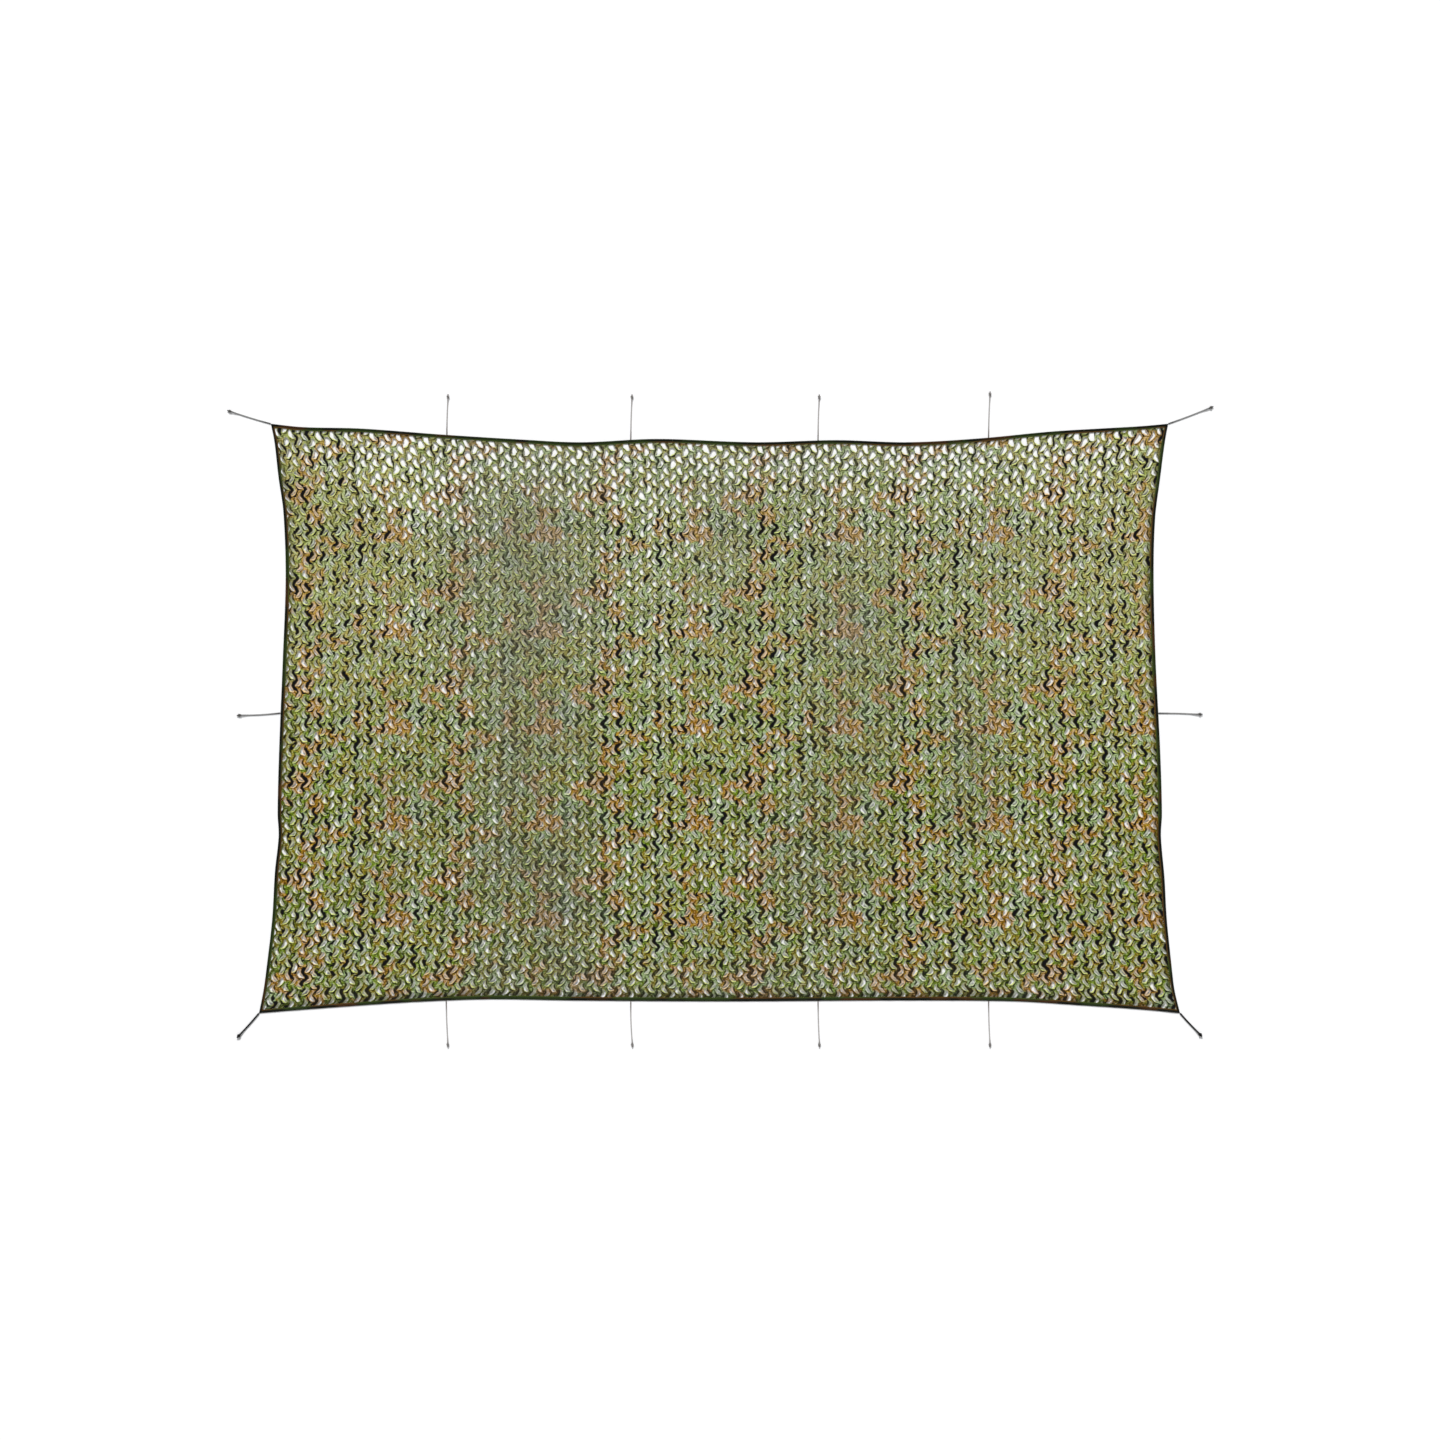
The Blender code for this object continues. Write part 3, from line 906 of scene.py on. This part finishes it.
def lattice_group(sizes):
    """Repeats the pair of slits over the cloth pulled flat, opens and jostles them, and
    lays the result on the guide."""
    tree, given = start_group("slit_lattice", "Guide", sizes, "Net")
    length, width, seed = given.out("Cloth Length"), given.out("Cloth Width"), given.out("Seed")
    position = tree.node("GeometryNodeInputPosition")
    cloth = repeated_slits(tree, given, position)
    slit = tree.vector("ADD", tree.named("slit", VECTOR), tree.named("cell", VECTOR))

    opened = slit_opening(tree, given, slit, length, width, seed)
    drawn_up = given.out("Top Pull") * near_top(tree, position, width, TOP_PULL_REACH)
    flat = position
    for shift in (
        tree.scaled(tree.named("opening", VECTOR), opened),
        wander(tree, position, given.out("Wander"), seed),
        tree.join(0.0, drawn_up, 0.0),
        jostle(tree, position, slit, given.out("Jostle")),
    ):
        flat = tree.vector("ADD", flat, shift)
    raised = tree.ramp(luck(tree, slit, seed, CURL), 0.48, 0.70) * given.out("Leaf Curl")
    stand = tree.ramp(luck(tree, slit, seed, STAND), 0.3, 0.7, 0.6, 1.4)
    relief = tree.named("relief") * stand + tree.named("leaf") * raised * tree.named("rim") ** 2.0
    cloth = tree.stored(cloth, "relief", relief)
    cloth = tree.node("GeometryNodeSetPosition", {"Geometry": cloth, "Position": flat})

    x, y, _ = tree.split(position)
    outside = tree.math("MAXIMUM", abs(x) > length * 0.5, abs(y) > width * 0.5)
    sockets = {"Geometry": cloth, "Selection": outside > 0.999}
    cloth = tree.node("GeometryNodeDeleteGeometry", sockets, domain="FACE")
    spot = pulled_flat(tree, position, length, width)
    border = from_border(tree, position, length, width)
    x, y, z = tree.split(sampled(tree, given, position, spot, VECTOR))
    z = tree.math("MAXIMUM", z + tree.named("relief") * tree.ramp(border, *FREE_OVER), CLOTH_FLOOR)
    cloth = tree.stored(cloth, "dust", sampled(tree, given, tree.named("dust_map"), spot))
    # how much painted shade the border gets
    cloth = tree.stored(cloth, "border", tree.ramp(border, *BORDER_SHADE_OVER, 1.0, 0.0))
    sockets = {"Geometry": cloth, "Position": tree.join(x, y, z)}
    cloth = tree.node("GeometryNodeSetPosition", sockets)
    cloth = tree.node("GeometryNodeMergeByDistance", {"Geometry": cloth, "Distance": WELD})
    for name in ("opening", "slit", "cell", "relief"):
        cloth = tree.node("GeometryNodeRemoveAttribute", {"Geometry": cloth, "Name": name})
    cloth = tree.node("GeometryNodeSetShadeSmooth", {"Geometry": cloth})
    return end_group(tree, cloth, given.out("Cloth"))


def repeated_slits(tree, given, position):
    """The pair of slits in even columns and rows, each with its place stored as 'cell'."""
    columns, rows = given.out("Columns"), given.out("Rows")
    pitch_x, pitch_y = given.out("Pitch X"), given.out("Pitch Y")
    spots = tree.node("GeometryNodeMeshGrid", {
        "Size X": (columns - 1) * pitch_x,
        "Size Y": (rows - 1) * pitch_y,
        "Vertices X": columns,
        "Vertices Y": rows,
    })
    shift = tree.join(given.out("Middle Column") * pitch_x, 0.0, 0.0)
    spots = tree.node("GeometryNodeSetPosition", {"Geometry": spots, "Offset": shift})
    pair = tree.node("GeometryNodeObjectInfo", {"Object": given.out("Slit Pair")}, "Geometry")
    placed = tree.node("GeometryNodeInstanceOnPoints", {"Points": spots, "Instance": pair})
    placed = tree.stored(placed, "cell", position, VECTOR, "INSTANCE")
    return tree.node("GeometryNodeRealizeInstances", {"Geometry": placed})


def pulled_flat(tree, place, length, width):
    """A place on the cloth pulled flat, from 0 to 1 along and across, kept inside it."""
    x, y, _ = tree.split(place)
    return tree.join(tree.clamp(x / length + 0.5), tree.clamp(y / width + 0.5), 0.0)


def from_border(tree, place, length, width):
    """How far in from the border a place on the cloth pulled flat lies."""
    x, y, _ = tree.split(place)
    return tree.math("MINIMUM", length * 0.5 - abs(x), width * 0.5 - abs(y))


def near_top(tree, place, width, reach):
    """1 at the top edge of the cloth pulled flat, fading to 0 over a few reaches."""
    _, y, _ = tree.split(place)
    return tree.math("EXPONENT", -(((width * 0.5 - y) / reach) ** 2))


def sampled(tree, guide, value, spot, kind="FLOAT"):
    """A value of the guide's points, read at a place on the cloth pulled flat."""
    return tree.node("GeometryNodeSampleUVSurface", {
        "Mesh": guide,
        "Value": value,
        "Source UV Map": tree.named("pulled_flat", VECTOR),
        "Sample UV": spot,
    }, data_type=kind)


def slit_opening(tree, given, slit, length, width, seed):
    """How far each slit is pulled open: wide under the top edge, uneven everywhere, its
    leaf more or less across it, and shut where the binding holds the cloth."""
    pull = sampled(tree, given, tree.named("pull"), pulled_flat(tree, slit, length, width))
    fade = near_top(tree, slit, width, TOP_REACH)
    pulled = OPEN_BELOW + (OPEN_AT_TOP - OPEN_BELOW) * fade + pull
    region = (luck(tree, slit, seed, REGION) - 0.5) * REGION_SPREAD
    each = (luck(tree, slit, seed, EACH) - 0.5) * EACH_SPREAD
    opened = tree.clamp(pulled + region + each, *OPEN_LIMITS)
    cover = (luck(tree, slit, seed, COVER) - 0.5) * COVER_SPREAD - COVER_LESS
    opened = opened + cover * tree.named("leaf")
    return opened * tree.ramp(from_border(tree, slit, length, width), *OPEN_OVER)


def luck(tree, slit, seed, kind):
    """Noise from 0 to 1 that is the same all over a slit."""
    return tree.speckle(slit, kind.scale, kind.detail, w=seed + kind.seed)


def jostle(tree, position, slit, amount):
    """A shift of its own for each slit's rim, and smaller ones along it; the strands'
    middles stay put."""
    stray = tree.speckle(slit, STRAY_SCALE, 0.0, w=2.0, output="Color")
    ragged = tree.speckle(position, RAGGED_SCALE, 0.0, w=6.0, output="Color")
    stray = tree.vector("SUBTRACT", tree.vector("ADD", stray, ragged), (1.0, 1.0, 1.0))
    stray = tree.vector("MULTIPLY", stray, (STRAY_GAIN, STRAY_GAIN, 0.0))
    return tree.scaled(stray, amount * tree.named("rim"))


def wander(tree, position, amount, seed):
    """The rows' drift over the whole cloth and the jostling of neighbouring slits."""
    total = None
    for drift in DRIFTS:
        stray = tree.speckle(position, drift.scale, 1.0, w=seed, output="Color")
        stray = tree.vector("SUBTRACT", stray, (0.5, 0.5, 0.5))
        stray = tree.vector("MULTIPLY", stray, (drift.along, drift.across, 0.0))
        total = stray if total is None else tree.vector("ADD", total, stray)
    return tree.scaled(total, amount)


def make_cloth(finish):
    """The net in sections that meet along the middle of their strands."""
    pair = make_slit_pair()
    sizes = {
        "Slit Pair": pair,
        "Columns": SECTION_COLUMNS,
        "Rows": LATTICE_ROWS,
        "Middle Column": 0.0,
        "Pitch X": PITCH_X,
        "Pitch Y": PITCH_Y,
        "Cloth Length": CLOTH_LENGTH,
        "Cloth Width": CLOTH_WIDTH,
        "Wander": WANDER,
        "Top Pull": TOP_PULL,
        "Jostle": JOSTLE,
        "Leaf Curl": LEAF_CURL,
        "Seed": CLOTH_SEED,
        "Cloth": finish,
    }
    group = lattice_group(sizes)
    guide = guide_mesh()
    sections = []
    for k in range(SECTIONS):
        section = add_object(f"net_cloth_{k + 1}", guide.copy())
        sizes["Middle Column"] = (k - (SECTIONS - 1) / 2) * SECTION_COLUMNS
        grow(section, group, sizes)
        sections.append(section)
    bpy.data.objects.remove(pair)
    return sections


# ---- print ----
PRINT_REPEAT_X = 0.505        # the printed pattern comes round again after this
PRINT_REPEAT_Y = 0.323
PRINT_BEND = 0.05             # how far the patches' outlines stray
BEND_SCALE = 16.0
TOP_LIGHT = 0.32             # painted light: paler towards the top edge, and less on rust
SHADE_BELOW = 0.18            # painted shade: darker towards the bottom edge
# Each colour's patches: how fine they are, which noise makes them, how far they are drawn
# out along the rows, and the noise at which they begin and are full.
Patches = namedtuple("Patches", "scale lift stretch low high")
GREEN_PATCHES = Patches(34.0, 0.0, 1.0, 0.44, 0.56)
KHAKI_PATCHES = Patches(24.0, 15.0, 1.0, 0.46, 0.57)
SAGE_PATCHES = Patches(18.0, 2.0, 1.0, 0.540, 0.590)
RUST_PATCHES = Patches(17.0, 6.0, 1.2, 0.536, 0.598)
TAN_PATCHES = Patches(60.0, 3.0, 1.0, 0.45, 0.65)
DARK_PATCHES = Patches(30.0, 12.0, 2.4, 0.516, 0.526)


def print_noise(tree, x, y, scale, lift=0.0, stretch=1.0):
    """Noise that repeats with the print: each axis is wound on a circle."""
    turn_x, turn_y = x * (2 * math.pi / PRINT_REPEAT_X), y * (2 * math.pi / PRINT_REPEAT_Y)
    radius_x = PRINT_REPEAT_X / (2 * math.pi * stretch)
    radius_y = PRINT_REPEAT_Y / (2 * math.pi)
    vector = tree.join(
        tree.math("COSINE", turn_x) * radius_x,
        tree.math("SINE", turn_x) * radius_x,
        tree.math("COSINE", turn_y) * radius_y + lift,
    )
    return tree.speckle(vector, scale, 2.0, w=tree.math("SINE", turn_y) * radius_y)


def printed(tree, x, y, patches, *favours):
    """Where a colour is printed, from 0 to 1. A favour above 0 widens its patches."""
    level = print_noise(tree, x, y, patches.scale, patches.lift, patches.stretch)
    for favour in favours:
        level = level + favour
    return tree.ramp(level, patches.low, patches.high)


def camouflage(tree, place):
    """The print, olive and sage greens with rust: its colour, painted paler towards the top and
    darker towards the bottom;
    its colour with a painted highlight for lit rims; its pale colour with painted light for leaves'
    undersides; and its dark patches."""
    across, up, _ = tree.split(place)
    long_edges = tree.ramp(abs(up), 0.72, 0.95)
    ends = tree.ramp(abs(across), 0.90, 1.20)
    x = across + (print_noise(tree, across, up, BEND_SCALE, 5.0) - 0.5) * PRINT_BEND
    y = up + (print_noise(tree, across, up, BEND_SCALE, 9.0) - 0.5) * PRINT_BEND
    green = tree.mix(printed(tree, x, y, GREEN_PATCHES), OLIVE, GREEN)
    green = tree.mix(printed(tree, x, y, KHAKI_PATCHES), green, KHAKI)
    sagey = printed(tree, x, y, SAGE_PATCHES, ends * -0.03)
    rusty = printed(tree, x, y, RUST_PATCHES)
    rust = tree.mix(printed(tree, x, y, TAN_PATCHES), RUST, TAN)
    dark = printed(tree, x, y, DARK_PATCHES, long_edges * 0.03, rusty * 0.04)
    color, lit_rim, pale_and_lit = (
        tree.mix(rusty, tree.mix(sagey, on_green, on_sage), on_rust)
        for on_green, on_sage, on_rust in (
            (green, SAGE, rust), (LIT_RIM, LIT_RIM_SAGE, LIT_RIM_RUST), (PALE_AND_LIT, PALE_AND_LIT_SAGE, PALE_AND_LIT_RUST),
        )
    )
    # painted light: paler towards the top edge, less on rust
    top_light = tree.ramp(up, -0.30, 0.55, 0.0, TOP_LIGHT) * (1 - rusty * 0.5)
    color = tree.coated(color, (
        (top_light, tree.mix(ends, TOP_LIGHT_TINT, TOP_LIGHT_TINT_ENDS)),
        # painted shade: darker towards the bottom edge
        (tree.ramp(up, 0.10, -0.95, 0.0, SHADE_BELOW), PAINTED_SHADE),
    ))
    return color, lit_rim, pale_and_lit, dark


HAZE_SCALE = 5.0              # thicker and thinner greying within its ovals
MOTTLE_SCALE = 170.0          # blotches a few millimetres wide
WEAVE_SCALE = 160.0
BLOTCHES = 0.72               # how strong the dark ones are, and the pale ones
PALE_BLOTCHES = 0.40
LEAF_LIGHT = 0.95              # painted light on a leaf's underside
RIM_HIGHLIGHT = 0.88               # painted highlight on the rim that catches the light
TOP_HAZE = 0.30               # greying laid again over the painted shade and painted light
# painted shade along the border, beside the binding
BORDER_SHADE = 0.62


def cloth_finish(tree):
    """Printed cloth: greyed in ovals, mottled, with painted shade in its folds and along its border,
    and painted light on its rims and leaves.
    """
    place = tree.place()
    rim, grime, wear, leaf, dust, border = (
        tree.painted(name) for name in ("rim", "grime", "wear", "leaf", "dust", "border")
    )
    color, lit_rim, pale_and_lit, dark = camouflage(tree, place)
    haze = dust * tree.ramp(tree.speckle(place, HAZE_SCALE, 4.0), 0.35, 0.65, 0.4, 1.2)
    _, y, _ = tree.split(place)
    # the haze's grey darkens towards the bottom edge: painted shade
    haze_grey = tree.mix(tree.ramp(y, -0.80, 0.60), HAZE_GREY_BELOW, HAZE_GREY)
    mottle = tree.speckle(place, MOTTLE_SCALE, 2.0)
    fold = tree.ramp(rim, 0.20, 0.36) * tree.ramp(rim, 0.54, 0.68, 1.0, leaf * 0.6)
    dark = dark * tree.ramp(rim, 0.40, 0.52, 1.0, 0.0) * tree.ramp(grime, 0.25, 0.60)
    color = tree.coated(color, (
        (haze, haze_grey),
        (tree.ramp(mottle, 0.46, 0.66, 0.0, BLOTCHES), BLOTCH),
        (tree.ramp(mottle, 0.46, 0.34, 0.0, PALE_BLOTCHES), pale_and_lit),
        # painted shade in the strands' folds and on the drooping leaves
        (grime * fold, PAINTED_SHADE),
        # painted light on the leaves' undersides
        (wear * leaf * tree.ramp(rim, 0.57, 0.78) * LEAF_LIGHT, pale_and_lit),
        # painted highlight: the rims that catch the light
        (wear * (1 - leaf) * tree.ramp(rim, 0.58, 0.74) * RIM_HIGHLIGHT, lit_rim),
        (haze * TOP_HAZE, haze_grey),
        # painted shade along the border, beside the binding
        (border * BORDER_SHADE, PAINTED_SHADE),
        (dark * tree.ramp(dust, 0.0, 0.5, 1.0, 0.6), NAVY),
    ))
    warp, weft = (
        tree.node("ShaderNodeTexWave", {
            "Vector": place, "Scale": WEAVE_SCALE, "Distortion": 0.4, "Detail": 0.0,
        }, "Fac", bands_direction=direction)
        for direction in "XY"
    )
    return {
        "Base Color": color,
        "Roughness": tree.ramp(mottle, 0.3, 0.7, 0.72, 0.9),
        "Normal": tree.bump(warp * 0.5 + weft * 0.5 + mottle * 0.6, 0.35, 0.0004),
        "Specular IOR Level": 0.10,
    }


# ---- binding ----
# The folded strip's section: across from the outline inwards, and height, both in metres,
# from the outline's foot up over the rope, along the flange and back under it.
Fold = namedtuple("Fold", "across height")
BINDING_SECTION = (
    Fold(0.0004, 0.0006), Fold(0.0000, 0.0018), Fold(0.0006, 0.0032), Fold(0.0018, 0.0045),
    Fold(0.0034, 0.0053), Fold(0.0050, 0.0051), Fold(0.0062, 0.0042), Fold(0.0071, 0.0036),
    Fold(0.0080, 0.0036), Fold(0.0095, 0.0040), Fold(0.0110, 0.0041), Fold(0.0121, 0.0038),
    Fold(0.0125, 0.0032), Fold(0.0122, 0.0024), Fold(0.0062, 0.0006),
)
BINDING_STEP = 0.006
PRINTED_FROM = 0.0080         # across the strip, where the print begins to show
PRINTED_TO = 0.0100           # and shows in full
PUCKER_HEIGHT = 0.0007
PUCKER_WIDTH = 0.0007
PUCKER_FULL_HEIGHT = 0.003    # lower points of the strip lift less
Pucker = namedtuple("Pucker", "along across share")   # the gathers' lengths each way
PUCKERS = (Pucker(0.009, 0.010, 0.6), Pucker(0.035, 0.020, 0.7))
STITCH_ACROSS = 0.0076
STITCH_HEIGHT = 0.0038
STITCH_PITCH = 0.0042
STITCH_LENGTH = 0.0030
STITCH_THICKNESS = 0.0008
STITCH_SIDES = 5
Girth = namedtuple("Girth", "along share")
STITCH_GIRTHS = (Girth(-0.5, 0.35), Girth(-0.3, 1.0), Girth(0.3, 1.0), Girth(0.5, 0.35))
SEAM_STEP = 0.004
SEAM_END = 0.006              # of the edge's length, bare at each end
STRETCH_SCALE = 7.0           # stretches of green tape
BROWN_SCALE = 6.0             # and of brown
TAPE_MOTTLE_SCALE = 260.0
THREAD_SCALE = 1500.0


def edge_length(name):
    """The straight length between an edge's two corners."""
    return (CORNERS[SIDES[name].end] - CORNERS[SIDES[name].start]).length


def pucker(side_name, distance, across):
    """Small and broad gathers along a binding, from about -1 to 1."""
    seed = 10.0 * list(SIDES).index(side_name)
    total = 0.0
    for number, gather in enumerate(PUCKERS):
        spot = Vector((distance / gather.along, across / gather.across, seed + 5.0 * number))
        total += gather.share * noise.noise(spot)
    return total


def binding_point(side_name, along, across, height):
    """A point of the puckered binding, in the part's frame."""
    gather = pucker(side_name, along * edge_length(side_name), across)
    inner = min(1.0, max(0.0, across / BINDING_WIDTH))
    spot = edge_point(SIDES[side_name], along, across + PUCKER_WIDTH * gather * inner)
    lift = PUCKER_HEIGHT * gather * min(1.0, height / PUCKER_FULL_HEIGHT)
    return Vector((spot.x, spot.y, height + lift))


def make_binding(name, finish):
    """One mitred strip: a rope under its outer half and a stitched flange inside."""
    count = round(edge_length(name) / BINDING_STEP)
    points = [
        binding_point(name, i / count, fold.across, fold.height)
        for i in range(count + 1)
        for fold in BINDING_SECTION
    ]
    rings, around = count + 1, len(BINDING_SECTION)
    faces = [*ring_faces(rings, around), *end_faces(rings, around)]
    mesh = mesh_of("edge_" + name, points, faces)
    store(mesh, "across", [fold.across for fold in BINDING_SECTION] * rings)
    outward(mesh)
    mesh.shade_smooth()
    mesh.materials.append(finish)
    strip = add_object("edge_" + name, mesh)
    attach(strip, BODY)
    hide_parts("binding_" + name)


def stitch_shape():
    """One stitch along +X: a short bar with pinched ends."""
    points = []
    for girth in STITCH_GIRTHS:
        radius = STITCH_THICKNESS / 2 * girth.share
        for k in range(STITCH_SIDES):
            angle = 2 * math.pi * k / STITCH_SIDES
            along = girth.along * STITCH_LENGTH
            points.append((along, radius * math.cos(angle), radius * math.sin(angle)))
    rings = len(STITCH_GIRTHS)
    faces = [*ring_faces(rings, STITCH_SIDES), *end_faces(rings, STITCH_SIDES)]
    mesh = mesh_of("stitch", points, faces)
    outward(mesh)
    return add_object("stitch", mesh)


def stitch_group(sewing):
    """Lays stitches end to end along a seam line."""
    tree, given = start_group("stitch_row", "Seam", sewing, "Stitches")
    seam = tree.node("GeometryNodeMeshToCurve", {"Mesh": given})
    sockets = {"Curve": seam, "Length": given.out("Pitch")}
    seam = tree.node("GeometryNodeResampleCurve", sockets, mode="LENGTH")
    tangent = tree.node("GeometryNodeInputTangent")
    turn = tree.node("FunctionNodeAlignRotationToVector", {"Vector": tangent}, axis="X")
    stitch = tree.node("GeometryNodeObjectInfo", {"Object": given.out("Stitch")}, "Geometry")
    sockets = {"Points": seam, "Instance": stitch, "Rotation": turn}
    row = tree.node("GeometryNodeInstanceOnPoints", sockets)
    return end_group(tree, row, given.out("Thread"))


def make_stitches(name, group, sewing):
    """A row of stitches along one binding."""
    count = round(edge_length(name) / SEAM_STEP)
    points = []
    for i in range(count + 1):
        along = SEAM_END + (1 - 2 * SEAM_END) * i / count
        points.append(binding_point(name, along, STITCH_ACROSS, STITCH_HEIGHT))
    seam = mesh_of("stitches_" + name, points, [], [(i, i + 1) for i in range(count)])
    row = add_object("stitches_" + name, seam)
    grow(row, group, sewing)
    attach(row, BODY)


def tape_finish(tree):
    """Dark tape that shows the print's greens and browns along its inner edge."""
    place = tree.place()
    stretch = tree.speckle(place, STRETCH_SCALE, 2.0)
    brown = tree.speckle(tree.vector("ADD", place, (5.0, 3.0, 0.0)), BROWN_SCALE, 2.0)
    mottle = tree.speckle(place, TAPE_MOTTLE_SCALE, 3.0)
    in_print = tree.mix(tree.ramp(stretch, 0.44, 0.56), TAPE_PRINT_BROWN, TAPE_PRINT_GREEN)
    color = tree.coated(TAPE_BLACK, (
        (tree.ramp(stretch, 0.50, 0.60), TAPE_GREEN),
        (tree.ramp(brown, 0.56, 0.64), TAPE_BROWN),
        (tree.ramp(tree.painted("across"), PRINTED_FROM, PRINTED_TO, 0.0, 0.85), in_print),
        (tree.ramp(mottle, 0.3, 0.7, 0.0, 0.4), TAPE_SHADOW),
    ))
    return {
        "Base Color": color,
        "Roughness": tree.ramp(mottle, 0.3, 0.7, 0.7, 0.9),
        "Normal": tree.bump(mottle, 0.4, 0.0005),
        "Specular IOR Level": 0.08,
    }


def thread_finish(tree):
    yarn = tree.speckle(tree.place(), THREAD_SCALE, 2.0)
    color = tree.mix(yarn, THREAD_DARK, THREAD_LIGHT)
    return {"Base Color": color, "Roughness": 0.6, "Normal": tree.bump(yarn, 0.3, 0.0001)}


# ---- the whole net ----
def main():
    make_camera()
    make_studio()

    yarns = {name: material(name, cord_finish, *shades) for name, shades in YARNS.items()}
    for tie in TIES:
        if tie.heavy:
            make_tie(tie, yarns["black_cord"], yarns["black_cord"])
        elif tie.name.startswith(("top", "bottom")):
            make_tie(tie, yarns["pale_cord"], yarns["pale_knot_cord"])
        else:
            make_tie(tie, yarns["grey_cord"], yarns["dark_knot_cord"])

    tape = material("dark_binding_tape", tape_finish)
    stitch = stitch_shape()
    sewing = {
        "Stitch": stitch,
        "Pitch": STITCH_PITCH,
        "Thread": material("sewing_thread", thread_finish),
    }
    stitches = stitch_group(sewing)
    for name in SIDES:
        make_binding(name, tape)
        make_stitches(name, stitches, sewing)
    bpy.data.objects.remove(stitch)

    for section in make_cloth(material("printed_net_cloth", cloth_finish)):
        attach(section, BODY)
        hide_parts("net")


main()
